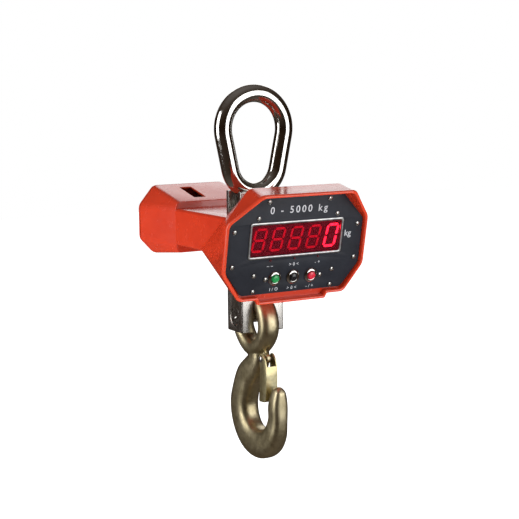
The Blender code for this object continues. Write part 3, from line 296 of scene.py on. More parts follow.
def yellow_zinc(name, stops, rough):
    """Drop-forged steel, zinc plated and yellow passivated: olive to gold
    clouds tens of millimetres across, iridescent smears and a forged skin."""
    mat, tree, shader = new_finish(name, Metallic=1.0, Roughness=0.34)
    cloud = mottle(tree, 26.0, 4.0, 0.62, distortion=0.6)
    base = ramp(tree, cloud, *stops)
    stain = spread(tree, mottle(tree, 7.0, 5.0, 0.7), 0.0, 0.35, 0.50, 0.72)
    wear_and_highlight_edge = edge_wear_and_highlight(tree, 2.0)
    shade = blend_colours(tree, stain, base, "6B5A34")
    dull = spread(tree, mottle(tree, 6.0, 5.0, 0.7), *rough)
    feed(tree, shader, Base_Color=blend_colours(tree, wear_and_highlight_edge, shade, "D8CFAE"), Roughness=dull)
    skin = relief(tree, shader, mottle(tree, 9.0, 3.0), 0.35, 0.22)
    relief(tree, shader, mottle(tree, 1.3, 3.0), 0.06, 0.30, skin)
    return mat


def turned_steel(name, tint, rough):
    """Turned or pressed steel, bright zinc: fine tool lines 0.3 mm apart,
    drawn at 0.6 mm, and a little dulling from handling."""
    mat, tree, shader = new_finish(name, Metallic=1.0, Roughness=0.28)
    base = ramp(tree, mottle(tree, 6.0, 4.0), (0.3, tint), (0.7, "D9D9D6"))
    feed(tree, shader, Base_Color=base, Roughness=spread(tree, mottle(tree, 2.0, 4.0), *rough))
    relief(tree, shader, mottle(tree, 0.6, 2.0), 0.02, 0.35)
    return mat


def moulded_plastic(name, low, high, rough, grain_mm=0.7, depth_mm=0.03, coat=0.0):
    """Injection-moulded ABS: two close shades, a spark-eroded grain and a
    roughness that varies a little where fingers polish it."""
    mat, tree, shader = new_finish(
        name, Roughness=0.4, IOR=1.53, Coat_Weight=coat, Coat_Roughness=0.08,
    )
    base = ramp(tree, mottle(tree, 11.0, 3.0), (0.3, low), (0.7, high))
    feed(tree, shader, Base_Color=base, Roughness=spread(tree, mottle(tree, 4.0, 4.0), *rough))
    relief(tree, shader, mottle(tree, grain_mm, 2.0), depth_mm, 0.4)
    return mat


def red_acrylic():
    """Cast acrylic tinted deep red, polished: clear to the figures behind it,
    dark everywhere else, with faint wipe marks in the gloss."""
    mat, tree, shader = new_finish(
        "red_acrylic", Roughness=0.05, IOR=1.49, Transmission_Weight=0.92,
    )
    base = ramp(tree, mottle(tree, 40.0, 2.0), (0.3, "C8304A"), (0.7, "B82840"))
    wipe = spread(tree, mottle(tree, 12.0, 4.0, 0.6, (1.0, 3.0, 3.0)), 0.03, 0.12)
    feed(tree, shader, Base_Color=base, Roughness=wipe)
    return mat


def glowing_segment(name, colour, glow, strength):
    """Diffusing epoxy bar over an LED: it glows in soft clouds about 3 mm wide. On the idle figures
    the LED is off, and the glow is painted light.
    """
    mat, tree, shader = new_finish(name, Roughness=0.5, Emission_Strength=strength)
    cloud = ramp(tree, mottle(tree, 3.0, 2.0), (0.3, colour), (0.7, glow))
    feed(tree, shader, Base_Color=cloud, Emission_Color=cloud)
    return mat


def circuit_board():
    """Glass-epoxy board under green solder resist: weave of about 0.5 mm,
    drawn at 1 mm, and faint copper tracks below the lacquer."""
    mat, tree, shader = new_finish("green_circuit_board", Roughness=0.35, IOR=1.5)
    track = node(
        tree, "ShaderNodeTexBrick", links={"Vector": object_space(tree, 3.0)}, Scale=1.0,
        Color1=linear("1C5A36"), Color2=linear("1A5232"), Mortar=linear("2E7A4C"), Mortar_Size=0.06,
    )
    feed(tree, shader, Base_Color=track.outputs["Color"])
    relief(tree, shader, mottle(tree, 1.0, 2.0), 0.03, 0.4)
    return mat


def studio_paper():
    """Seamless background paper: white, matt, with the faintest mottling."""
    mat, tree, shader = new_finish(
        "white_studio_paper", Roughness=0.9,
        Emission_Strength=0.80, Emission_Color=linear("FFFFFF"),
    )
    base = ramp(tree, mottle(tree, 180.0, 2.0), (0.3, "FCFCFC"), (0.7, "FFFFFF"))
    feed(tree, shader, Base_Color=base)
    return mat


FINISH = {}


HOOK_CLOUDS = ((0.25, "AC9F7C"), (0.45, "C4B894"), (0.62, "D0C4A2"), (0.80, "B8AD90"))
LATCH_CLOUDS = ((0.25, "D2C28E"), (0.45, "E0D6A8"), (0.62, "E8E0B8"), (0.80, "D8CC9C"))
CAP_SKIN = (0.9, 0.01)      # grain and its depth in mm, on caps polished by fingers


def make_finishes(colours):
    FINISH.update(
        paint=orange_enamel(colours.paint),
        panel=panel_print(colours.panel),
        ring=mirror_chrome("ring_chrome", "DEDCD8", 0.05, 0.16),
        block=mirror_chrome("block_chrome", "E2DFDA", 0.24, 0.30, (1.0, 1.0, 0.35)),
        bezel=mirror_chrome("bezel_chrome", "E2E2E0", 0.05, 0.12),
        hook=yellow_zinc("hook_yellow_zinc", HOOK_CLOUDS, (0.34, 0.50)),
        latch=yellow_zinc("latch_yellow_zinc", LATCH_CLOUDS, (0.36, 0.46)),
        pin=turned_steel("pin_bright_zinc", "B4B3AE", (0.20, 0.34)),
        screw=turned_steel("screw_bright_zinc", "CFCFCC", (0.18, 0.30)),
        spring=turned_steel("spring_steel_wire", "8E8C86", (0.24, 0.38)),
        silver=turned_steel("satin_anodised_frame", "A0A4AA", (0.34, 0.44)),
        bracket=turned_steel("galvanised_sheet", "9A9C9D", (0.32, 0.50)),
        socket=moulded_plastic("socket_black_nylon", "121214", "1E1D20", (0.35, 0.5)),
        switch=moulded_plastic("switch_black_abs", "17171A", "222226", (0.4, 0.55)),
        battery=moulded_plastic("battery_case_abs", "2A2B30", "35363C", (0.4, 0.6)),
        module=moulded_plastic("figure_module_face", "170C10", "211217", (0.45, 0.6)),
        gasket=moulded_plastic("black_sponge_rubber", "141414", "202020", (0.75, 0.9), 0.6, 0.1),
        cable=moulded_plastic("black_cable_jacket", "161616", "242424", (0.45, 0.6)),
        green=moulded_plastic("green_button_cap", "0E7A3C", "149048", (0.22, 0.32), *CAP_SKIN, 0.4),
        black=moulded_plastic("black_button_cap", "0E0E10", "18181B", (0.20, 0.30), *CAP_SKIN, 0.4),
        red=moulded_plastic("red_button_cap", "B0142C", "CC1C36", (0.22, 0.32), *CAP_SKIN, 0.4),
        lamp=moulded_plastic("lamp_red_epoxy", "3C0810", "5A0E18", (0.18, 0.28), *CAP_SKIN, 0.5),
        ink=moulded_plastic("pale_grey_screen_ink", "A6A8AD", "B8BABF", (0.5, 0.65)),
        window=red_acrylic(),
        board=circuit_board(),
        # Painted glow: the idle figures are unlit, and their emission stands in for the light that
        # shows them.
        dim=glowing_segment("unlit_segment_painted_glow", "A82444", "B83054", colours.unlit_painted_glow),
        lit=glowing_segment("glowing_segment", "FF5068", "FF8C9A", colours.lit_glow),
        paper=studio_paper(),
    )


# ------------------------------------------------------------------ mesh tools
def place_object(name, mesh):
    """Object at the origin that shows the mesh."""
    obj = bpy.data.objects.new(name, mesh)
    bpy.context.scene.collection.objects.link(obj)
    return obj


def solid(name, verts, faces):
    """A closed surface as a mesh object at the origin; verts are given from
    the middle of the block."""
    mesh = bpy.data.meshes.new(name)
    verts = np.asarray(verts, float).reshape(-1, 3) - [0.0, 0.0, CROWN]
    mesh.from_pydata(verts.tolist(), [], [list(f) for f in faces])
    tidy(mesh)
    return place_object(name, mesh)


def piece(name, verts, faces, finish, body, replaces=(), slot=None, angle=30.0):
    """A closed surface, dressed and hung on its body."""
    return dress(solid(name, verts, faces), finish, body, replaces, slot, angle)


def tidy(mesh):
    """Merge doubles and turn every face outwards."""
    bm = bmesh.new()
    bm.from_mesh(mesh)
    bmesh.ops.remove_doubles(bm, verts=bm.verts, dist=1e-7)
    bmesh.ops.recalc_face_normals(bm, faces=bm.faces)
    bm.to_mesh(mesh)
    bm.free()


def dress(obj, finish, body, replaces=(), slot=None, angle=30.0, bevel=0.0):
    """Give a piece its finish, sharp edges past angle or rolled by bevel, its
    body and the nodes that it replaces; slot is not used."""
    mesh = obj.data
    mesh.materials.clear()
    mesh.materials.append(FINISH[finish])
    mesh.polygons.foreach_set("use_smooth", np.ones(len(mesh.polygons), bool))
    mesh.set_sharp_from_angle(angle=math.radians(angle))
    if bevel:
        mod = obj.modifiers.new("edge", "BEVEL")
        mod.width = bevel
        mod.segments = 3
        mod.limit_method = "ANGLE"
        mod.angle_limit = math.radians(max(angle, 30.0))
        mod.use_clamp_overlap = True
        settle(obj)
        obj.data.set_sharp_from_angle(angle=math.radians(55.0))
    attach(obj, body)
    if replaces:
        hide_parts(*replaces)
    return obj


def settle(obj):
    """Apply the live modifiers to the mesh."""
    graph = bpy.context.evaluated_depsgraph_get()
    mesh = bpy.data.meshes.new_from_object(obj.evaluated_get(graph))
    obj.modifiers.clear()
    old = obj.data
    name = old.name
    obj.data = mesh
    bpy.data.meshes.remove(old)
    mesh.name = name


def cut(obj, verts, faces):
    """Take the space inside a closed surface out of a solid."""
    tool = solid("tool", verts, faces)
    mod = obj.modifiers.new("cut", "BOOLEAN")
    mod.operation = "DIFFERENCE"
    mod.solver = "EXACT"
    mod.object = tool
    settle(obj)
    bpy.data.objects.remove(tool, do_unlink=True)
    tidy(obj.data)


def drill(obj, radius, low, high, centre, axis, sides=64):
    """Cut a round bore that runs from low to high along the axis."""
    cut(obj, *lathe([(radius, low), (radius, high)], centre, axis, sides))


def gather(obj, verts, faces):
    """Put another closed surface into the same mesh, overlap and all."""
    other = solid("tool", verts, faces)
    bm = bmesh.new()
    bm.from_mesh(obj.data)
    bm.from_mesh(other.data)
    bm.to_mesh(obj.data)
    bm.free()
    bpy.data.objects.remove(other, do_unlink=True)


def grid_faces(rows, cols, wrap):
    """Quads of a grid whose columns close up, and its rows too if wrap."""
    i = np.arange(rows if wrap else rows - 1)[:, None]
    j = np.arange(cols)[None, :]
    k = (i + 1) % rows
    m = (j + 1) % cols
    corners = (i * cols + j, i * cols + m, k * cols + m, k * cols + j)
    return np.stack(np.broadcast_arrays(*corners), -1).reshape(-1, 4).tolist()


def ring_skin(loops):
    """Loops skinned into a ring that closes on itself."""
    loops = np.asarray(loops, float)
    return loops.reshape(-1, 3), grid_faces(loops.shape[0], loops.shape[1], True)


def bar_skin(loops):
    """Loops skinned in a row and capped at both ends."""
    loops = np.asarray(loops, float)
    rows, cols = loops.shape[:2]
    faces = grid_faces(rows, cols, False)
    faces.append(list(range(cols))[::-1])
    faces.append([(rows - 1) * cols + j for j in range(cols)])
    return loops.reshape(-1, 3), faces


def slab(outline, x0, x1):
    """A (y, z) outline carried straight from x0 to x1."""
    return bar_skin([np.c_[np.full(len(outline), x), outline] for x in (x0, x1)])


def lathe(profile, origin, axis, count=64, hollow=False):
    """Surface of revolution: point = origin + r (u cos t + v sin t) + h axis,
    for each (r, h) of the profile and t round the circle."""
    axis = np.asarray(axis, float)
    side = np.array([0.0, 1.0, 0.0]) if abs(axis[0]) > 0.9 else RIGHT
    u = side - axis * (side @ axis)
    u = u / np.linalg.norm(u)
    v = np.cross(axis, u)
    t = np.arange(count) * 2 * math.pi / count
    r = np.asarray(profile, float)[:, 0][:, None, None]
    h = np.asarray(profile, float)[:, 1][:, None, None]
    spokes = np.cos(t)[:, None] * u + np.sin(t)[:, None] * v
    loops = np.asarray(origin) + r * spokes + h * axis
    return ring_skin(loops) if hollow else bar_skin(loops)


def corner_arcs(before, at, after, radius, share, steps):
    """Quadratic arcs, (1 - t)^2 start + 2 t (1 - t) at + t^2 end, at each corner;
    start and end lie radius along its sides, at most share of the shorter."""
    la = np.linalg.norm(before - at, axis=1)[:, None]
    lc = np.linalg.norm(after - at, axis=1)[:, None]
    back = np.minimum(radius, share * np.minimum(la, lc))
    start = at + (before - at) / la * back
    end = at + (after - at) / lc * back
    t = np.linspace(0.0, 1.0, steps)[None, :, None]
    arc = (1 - t) ** 2 * start[:, None] + 2 * t * (1 - t) * at[:, None] + t * t * end[:, None]
    return arc.reshape(-1, at.shape[1])


def soften(profile, radius, steps=5):
    """Round the corners of an open (r, h) profile."""
    p = np.asarray(profile, float)
    return np.vstack([p[:1], corner_arcs(p[:-2], p[1:-1], p[2:], radius, 0.45, steps), p[-1:]])


def rounded(corners, radius, steps):
    """Round every corner of a closed outline."""
    p = np.asarray(corners, float)
    radius = np.broadcast_to(radius, (len(p),))[:, None]
    return corner_arcs(np.roll(p, 1, 0), p, np.roll(p, -1, 0), radius, 0.42, steps)


def inset(corners, distance):
    """Every side of a flat outline moved inwards by distance."""
    pts = np.asarray(corners, float)
    nxt = np.roll(pts, -1, 0)
    area = 0.5 * np.sum(pts[:, 0] * nxt[:, 1] - nxt[:, 0] * pts[:, 1])
    edge = nxt - pts
    edge = edge / np.linalg.norm(edge, axis=1)[:, None]
    normal = np.stack([-edge[:, 1], edge[:, 0]], 1) * np.sign(area)
    before = np.roll(normal, 1, 0)
    dot = np.sum(before * normal, axis=1)[:, None]
    return pts + (before + normal) / (1 + dot) * distance


def eight(half):
    """Eight corners from the four on the right, low to high."""
    right = [tuple(p) for p in half]
    return np.array(right + [(-x, v) for x, v in reversed(right)])


def mirrored(points):
    """Each point on the left, then on the right."""
    return [(s * x, v) for x, v in points for s in (-1, 1)]


def on_panel(x, v, out):
    """Place on the panel: x right, v up the panel, out of it."""
    steps = ((x, RIGHT), (v, UP), (out, OUT))
    return PANEL_AT + sum(np.multiply.outer(size, way) for size, way in steps)


def rounded_box(lo, hi, radius, steps=6):
    """Box whose upright edges are quarter rounds and whose ends are rolled
    over by the same radius: the outline shrinks along a quarter arc."""
    (x0, y0, z0), (x1, y1, z1) = lo, hi
    outline = rounded([(x0, y0), (x1, y0), (x1, y1), (x0, y1)], radius, steps)
    middle = np.array([(x0 + x1) / 2, (y0 + y1) / 2])
    half = np.array([(x1 - x0) / 2, (y1 - y0) / 2])
    a = np.linspace(0.0, math.pi / 2, steps)
    drop = radius * (1 - np.cos(a))
    shrink = radius * (1 - np.sin(a))
    z = np.r_[z0 + drop, (z1 - drop)[::-1]][:, None, None]
    size = 1 - np.r_[shrink, shrink[::-1]][:, None, None] / half
    flat = middle + (outline - middle) * size
    return bar_skin(np.concatenate([flat, np.broadcast_to(z, (*flat.shape[:2], 1))], -1))


def curve_mesh(name, curve, u, v, origin):
    """The curve made a mesh and laid in the frame u, v at the origin given,
    which is measured from the middle of the block."""
    holder = place_object(name + "_line", curve)
    graph = bpy.context.evaluated_depsgraph_get()
    mesh = bpy.data.meshes.new_from_object(holder.evaluated_get(graph))
    bpy.data.objects.remove(holder, do_unlink=True)
    mesh.name = name
    place = np.eye(4)
    place[:3] = np.stack([u, v, np.cross(u, v), origin - np.array([0.0, 0.0, CROWN])], 1)
    mesh.transform(Matrix(place.tolist()))
    return mesh


def flat_piece(name, outlines, low, high, origin, u, v, finish, body, edge=0.0, **rest):
    """A flat sheet cut from outlines (the first is the outside), its edges
    rolled by edge, drawn as a filled curve and laid in the frame given."""
    curve = bpy.data.curves.new(name, "CURVE")
    curve.dimensions = "2D"
    curve.fill_mode = "BOTH"
    edge = min(edge, (high - low) * 0.45)
    curve.extrude = (high - low) / 2 - edge
    curve.bevel_depth = edge
    curve.bevel_resolution = 2
    curve.offset = -edge
    for outline in outlines:
        spline = curve.splines.new("POLY")
        spline.points.add(len(outline) - 1)
        flat = np.c_[np.asarray(outline, float), np.zeros(len(outline)), np.ones(len(outline))]
        spline.points.foreach_set("co", flat.ravel())
        spline.use_cyclic_u = True
    middle = np.asarray(origin, float) + np.cross(u, v) * (low + high) / 2
    mesh = curve_mesh(name, curve, u, v, middle)
    tidy(mesh)
    return dress(place_object(name, mesh), finish, body, **rest)


def catmull(line, count):
    """Smooth curve through the stations (Catmull-Rom)."""
    line = np.asarray(line, float)
    pad = np.vstack([2 * line[0] - line[1], line, 2 * line[-1] - line[-2]])
    s = np.linspace(0, len(line) - 1, count)
    i = np.minimum(s.astype(int), len(line) - 2)
    t = (s - i)[:, None]
    p0, p1, p2, p3 = (pad[i + k] for k in range(4))
    cubic = 2 * p1 + (p2 - p0) * t + (2 * p0 - 5 * p1 + 4 * p2 - p3) * t * t
    return (cubic + (3 * p1 - p0 - 3 * p2 + p3) * t ** 3) / 2


def circle(radius, count, centre=(0.0, 0.0)):
    """Points at centre + radius (cos a, sin a) for a round the circle."""
    a = np.arange(count) * 2 * math.pi / count
    return np.stack([centre[0] + radius * np.cos(a), centre[1] + radius * np.sin(a)], 1)


def flattened(wave, power):
    """A cosine or sine drawn out so that a circle becomes a superellipse:
    sign(wave) |wave| ^ (2 / power)."""
    return np.sign(wave) * np.abs(wave) ** (2 / power)


# ------------------------------------------------------------------ properties
class ScaleSizes(PropertyGroup):
    """Sizes that a user would change; the rest follow the frame."""

    enamel_edge: FloatProperty(
        name="Enamel edge", description="Radius rolled onto the folded edges of the housing",
        default=0.0012, unit="LENGTH",
    )
    block_edge: FloatProperty(
        name="Block edge", description="Radius on the edges of the weighing block",
        default=0.0009, unit="LENGTH",
    )
    mark_height: FloatProperty(
        name="Mark height", description="Height of the small printed marks",
        default=0.0046, unit="LENGTH",
    )
    camera_distance: FloatProperty(
        name="Camera distance", description="Camera to the middle of the block",
        default=1.848, unit="LENGTH",
    )
    floor_drop: FloatProperty(
        name="Floor drop", description="Floor below the hook",
        default=0.30, unit="LENGTH",
    )


class ScaleColours(PropertyGroup):
    """Colours and glow that a user would change."""

    paint: StringProperty(
        name="Enamel", description="Housing enamel, sRGB hex",
        default="C4361A",
    )
    panel: StringProperty(
        name="Panel", description="Front panel foil, sRGB hex",
        default="1C1E25",
    )
    # Painted glow on the unlit idle figures.
    unlit_painted_glow: FloatProperty(
        name="Dim glow", description="Glow of the figures that idle",
        default=2.2,
    )
    lit_glow: FloatProperty(
        name="Lit glow", description="Glow of the last figure",
        default=11.0,
    )


# -------------------------------------------------------------------- housing
ROUND = [0.006] * 8 + [0.0018] * 4      # at the eight corners, then at the notch
CORNER = 7                              # points in each rounded corner
NOTCH_RUN = 0.003
HEAD_BACK = 0.16                        # of the way from the rim to the waist


def notch_points(corners8):
    """Four more points on the flat lower edge, so that every loop matches."""
    p7 = corners8[7]
    p0 = corners8[0]
    wide = min(NOTCH_HW, 0.80 * p0[0])
    across = (-wide, -wide + NOTCH_RUN, wide - NOTCH_RUN, wide)
    share = [(x - p7[0]) / (p0[0] - p7[0]) for x in across]
    return np.vstack([corners8, [p7 + (p0 - p7) * s for s in share]])


def upright_loop(half, y, shrink=0.0):
    """Rounded outline standing at one y."""
    pts = inset(eight(half), shrink)
    full = np.c_[pts[:, 0], np.full(8, y), pts[:, 1]]
    return rounded(notch_points(full), ROUND, CORNER)


def skew_loop(right, shrink=0.0):
    """Rounded outline whose corners stand at different y."""
    right = np.asarray(right, float)
    full = np.vstack([right, right[::-1] * [-1, 1, 1]])
    full[:, [0, 2]] = inset(full[:, [0, 2]], shrink)
    return rounded(notch_points(full), ROUND, CORNER)


def rim_corners():
    """The rim's eight corners and the four of the step in its lower edge."""
    low = RIM_OUT[0][1]
    foot = NOTCH_HW - NOTCH_RUN
    step = [(NOTCH_HW, low), (foot, low - NOTCH_DROP)]
    return np.vstack([eight(RIM_OUT), [(-x, v) for x, v in step], step[::-1]])


def rim_loop(shrink, lift, floor=None):
    """Rim outline, raised towards its top by the hood, or flat on a floor."""
    flat = rim_corners()
    t = np.clip((flat[:, 1] - RIM_OUT[2][1]) / (RIM_OUT[3][1] - RIM_OUT[2][1]), 0.0, 1.0)
    outs = LIP + (HOOD - LIP) * t + lift
    if floor is not None:
        outs = np.full(12, floor)
    pts = inset(flat, shrink)
    return rounded(on_panel(pts[:, 0], pts[:, 1], outs), ROUND, CORNER)


def panel_loop(half, out):
    """Rounded outline in a plane of the panel."""
    pts = eight(half)
    return rounded(notch_points(on_panel(pts[:, 0], pts[:, 1], np.full(8, out))), ROUND, CORNER)


def head_corners():
    """Right corners of the flared head, part of the way back to the waist."""
    rim = np.array(RIM_OUT)
    four = on_panel(rim[:, 0], rim[:, 1], np.full(4, LIP - 0.008))
    mixed = four + (np.array(waist_corners(*WAIST_Y)) - four) * HEAD_BACK
    mixed[3] = on_panel(RIM_OUT[3][0], RIM_OUT[3][1], HOOD - 0.040)
    return mixed


def waist_corners(y0, y1, y2, y3):
    """Right corners of the waist, cut back by 3 mm, each at its own y."""
    (hw, low), (_, top) = STEP_OUT[1:3]
    cut_back = 0.003
    return [
        (hw - cut_back, y0, low), (hw, y1, low + cut_back),
        (hw, y2, top - cut_back), (hw - cut_back, y3, top),
    ]


def blend_loops(first, last, steps):
    """Loops evenly spaced from the first to the last."""
    t = np.linspace(0.0, 1.0, steps + 1)[:, None, None]
    return list(first + (last - first) * t)


def fillet_rows(loops, radius, steps=4):
    """Round the skin where it turns from one loop to the next: each inner
    loop becomes a quadratic arc of loops whose ends lie on its neighbours."""
    loops = [np.asarray(r, float) for r in loops]
    out = [loops[0]]
    for i in range(1, len(loops) - 1):
        r = radius[i]
        a, b, c = loops[i - 1], loops[i], loops[i + 1]
        if not r:
            out.append(b)
            continue
        la = np.linalg.norm(a - b, axis=1)[:, None] + 1e-9
        lc = np.linalg.norm(c - b, axis=1)[:, None] + 1e-9
        p0 = b + (a - b) / la * np.minimum(r, 0.45 * la)
        p2 = b + (c - b) / lc * np.minimum(r, 0.45 * lc)
        for t in np.linspace(0.0, 1.0, steps + 1):
            out.append((1 - t) ** 2 * p0 + 2 * t * (1 - t) * b + t * t * p2)
    out.append(loops[-1])
    return out


def housing_skin(edge):
    """Outer skin from the rear face over the waist and the flared head to the
    rolled rim, then back inside a wall's thickness further in."""
    waist_end = skew_loop(waist_corners(*WAIST_Y))
    head = skew_loop(head_corners())
    neck = skew_loop(waist_corners(*[NECK_Y - 0.0008] * 4))
    outer = [
        upright_loop(REAR_OUT, REAR_Y, 0.010), upright_loop(REAR_OUT, REAR_Y),
        upright_loop(STEP_OUT, NECK_Y), neck, waist_end, head, rim_loop(0.0008, -0.0075),
    ]
    outer = fillet_rows(outer, [0, edge, edge, 0.0002, 0.0035, 0.0030, 0])[1:]
    bead = [(0.0, -0.0050), (0.0, -0.0026), (0.0003, -0.0013), (0.0010, -0.0004), (0.0022, 0.0)]
    bead += [(0.0034, -0.0004), (0.0041, -0.0013), (0.0044, -0.0026), (0.0045, -0.0045)]
    outer += [rim_loop(s, h) for s, h in bead]
    ledge = -0.0036
    back = 0.0025
    inner = [rim_loop(0.0046, 0.0, ledge)]
    inner += [panel_loop(LEDGE_IN, out) for out in (ledge, ledge - back)]
    inner_head = skew_loop(head_corners(), WALL + 0.001)
    inner += blend_loops(inner_head, skew_loop(waist_corners(*WAIST_Y), WALL), 4)
    inner += [
        skew_loop(waist_corners(*[NECK_Y + WALL - 0.0008] * 4), WALL),
        upright_loop(STEP_OUT, NECK_Y + WALL, WALL), upright_loop(REAR_OUT, REAR_Y - back, WALL),
        upright_loop(REAR_OUT, REAR_Y - back, 0.014), upright_loop(REAR_OUT, REAR_Y, 0.014),
    ]
    return ring_skin(outer + inner)


class SCALE_OT_housing(Operator):
    """Folded and welded sheet housing with its rolled front rim"""

    bl_idname = "crane_scale.housing"
    bl_label = "Housing"

    def execute(self, context):
        edge = context.scene.crane_scale_sizes.enamel_edge
        shell = solid("housing_shell", *housing_skin(edge))
        hw = BLOCK[0] + 0.0012
        hd = BLOCK[1] + 0.0012
        cut(shell, *rounded_box((-hw, -hd, -0.080), (hw, hd, 0.120), 0.0012))
        drill(shell, 0.0058, -0.012, 0.012, SOCKET_AT, SOCKET_AXIS, 32)
        run = REAR_Y - NECK_Y
        rise = REAR_OUT[3][1] - STEP_OUT[3][1]
        along = np.array([0.0, run, rise]) / math.hypot(run, rise)
        lift = np.cross(RIGHT, along)
        corners = [(-0.024, 0.016), (-0.004, 0.016), (-0.004, 0.066), (-0.024, 0.066)]
        flat = rounded(corners, 0.0015, 4)
        slope = np.array([0.0, NECK_Y, STEP_OUT[3][1]]) + flat[:, :1] * RIGHT + flat[:, 1:] * along
        cut(shell, *bar_skin([slope + h * lift for h in (-0.0060, 0.010)]))
        dress(shell, "paint", "scale_body", ("main_housing",), "orange_paint", 34.0)
        outline = rounded(eight(REAR_OUT), 0.006, 8)
        holes = [circle(0.0041, 24, p) for p in mirrored(COVER_SCREWS)]
        flat_piece(
            "rear_cover_sheet", [outline, *holes], -0.0041, -0.0016, (0, REAR_Y, 0), RIGHT,
            (0, 0, 1), "paint", "scale_body", 0.0007, replaces=("rear_cover",), slot="orange_paint",
        )
        for number, (x, z) in enumerate(mirrored(COVER_SCREWS), 1):
            head = cross_head(0.0036, 0.0001, 0.0, 0.0019)
            skin = head_in(head, (x, REAR_Y + 0.0040, z), RIGHT, (0.0, 0.0, -1.0))
            name, real = f"cover_screw_head_{number}", f"cover_screw_{number}"
            piece(name, *skin, "screw", "scale_body", (real,), "screw_steel")
        return {"FINISHED"}


def cross_head(radius, rise, skirt, foot):
    """Screw head as height over a disc: a shallow dome, a rolled skirt and a
    cross-shaped recess; the last rings drop to the foot and close."""
    rings = np.r_[np.linspace(0.0, 0.62, 17), np.linspace(0.66, 1.0, 9)][1:]
    count = 64
    t = np.arange(count) * 2 * math.pi / count
    r = rings[:, None] * radius
    x = r * np.cos(t)
    y = r * np.sin(t)
    dome = rise * (1 - (r / radius) ** 2) + 0 * x
    roll = np.clip((rings[:, None] - 0.86) / 0.14, 0.0, 1.0)
    dome = dome - skirt * (1 - np.sqrt(np.clip(1 - roll ** 2, 0.0, 1.0)))
    arm = radius * 0.13
    reach = radius * 0.56
    across = np.minimum(np.abs(x), np.abs(y))
    along = np.maximum(np.abs(x), np.abs(y))
    sunk = np.clip((arm - across) / (arm * 0.35), 0.0, 1.0)
    sunk = sunk * np.clip((reach - along) / (radius * 0.12), 0.0, 1.0)
    z = dome - sunk * radius * 0.42
    top = np.stack([x, y, z], -1)
    last = top[-1]
    base = np.stack([last[:, 0], last[:, 1], np.full(count, -foot)], -1)
    return np.concatenate([top, base[None]], 0)


def head_in(loops, origin, u, v):
    """Skin of a screw head laid in the frame u, v at the origin given."""
    axes = np.stack([u, v, np.cross(u, v)])
    return bar_skin(np.asarray(origin, float) + loops @ axes)


# ------------------------------------------------------------------------ ring
class SCALE_OT_ring(Operator):
    """Lifting ring: a round bar carried along two bows and their tangents"""

    bl_idname = "crane_scale.ring"
    bl_label = "Lifting ring"

    def execute(self, context):
        lean = math.asin((TOP_BOW[0] - LOW_BOW[0]) / (TOP_BOW[1] - LOW_BOW[1]))
        top = np.linspace(-lean, math.pi + lean, 97)
        low = np.linspace(math.pi + lean, 2 * math.pi - lean, 73)
        arc = np.vstack([
            np.c_[TOP_BOW[0] * np.cos(top), TOP_BOW[1] + TOP_BOW[0] * np.sin(top)],
            np.c_[LOW_BOW[0] * np.cos(low), LOW_BOW[1] + LOW_BOW[0] * np.sin(low)],
        ])
        along = np.roll(arc, -1, 0) - np.roll(arc, 1, 0)
        along = along / np.linalg.norm(along, axis=1)[:, None]
        across = np.stack([along[:, 1], -along[:, 0]], 1)
        a = np.arange(48) * 2 * math.pi / 48
        r = WIRE * np.cos(a)
        x = arc[:, :1] + r * across[:, :1]
        z = arc[:, 1:] + r * across[:, 1:]
        y = np.broadcast_to(WIRE * np.sin(a), x.shape)
        skin = ring_skin(np.stack([x, y, z], -1))
        piece("ring_bar", *skin, "ring", "ring", ("lifting_ring",), "ring_chrome")
        b = np.radians(np.linspace(180, 360, 41))
        boss = 0.0215
        flat = np.c_[boss * np.cos(b), RING_PIN_Z + boss * np.sin(b)]
        neck = [(0.0205, 0.078), (0.0185, 0.096), (-0.0185, 0.096), (-0.0205, 0.078)]
        outline = np.vstack([flat, neck])
        hole = circle(PIN_R + PIN_PLAY, 48, (0.0, RING_PIN_Z))
        flat_piece(
            "ring_tongue", [outline, hole], -0.0118, 0.0118, (0, 0, 0), RIGHT, (0, 0, 1),
            "ring", "ring", edge=0.0012, slot="ring_chrome",
        )
        return {"FINISHED"}


# ----------------------------------------------------------------------- block
class SCALE_OT_block(Operator):
    """Weighing block with its slots and bores, and the two load pins"""

    bl_idname = "crane_scale.block"
    bl_label = "Weighing block"

    def execute(self, context):
        edge = context.scene.crane_scale_sizes.block_edge
        w, d, h = BLOCK
        block = solid("block_body", *rounded_box((-w, -d, -h), (w, d, h), 0.0016))
        ring_slot = WIRE + 0.0007
        hook_slot = 0.0157
        cut(block, *rounded_box((-0.05, -ring_slot, 0.0370), (0.05, ring_slot, 0.15), 0.002))
        cut(block, *rounded_box((-hook_slot, -0.05, -0.15), (hook_slot, 0.05, -0.0380), 0.002))
        pins = (
            ("ring_pin", (0, 0, RING_PIN_Z), (0, 1, 0), d),
            ("hook_pin", (0, 0, HOOK_PIN_Z), (1, 0, 0), w),
        )
        far, sunk = 0.06, 0.0035
        for _, centre, axis, half in pins:
            drill(block, PIN_R + PIN_PLAY, -far, far, centre, axis)
            for low, high in ((half - sunk, far), (-far, sunk - half)):
                drill(block, 0.0135, low, high, centre, axis)
        cut(block, *rounded_box((-0.014, -0.05, -0.016), (0.014, 0.006 - d, 0.016), 0.002))
        dress(block, "block", "scale_body", ("load_cell",), "cell_chrome", 30.0, edge)
        for name, centre, axis, half in pins:
            skin = lathe(pin_profile(half), centre, axis, 64)
            piece(name + "_turned", *skin, "pin", "scale_body", (name,), "pin_steel")
        return {"FINISHED"}


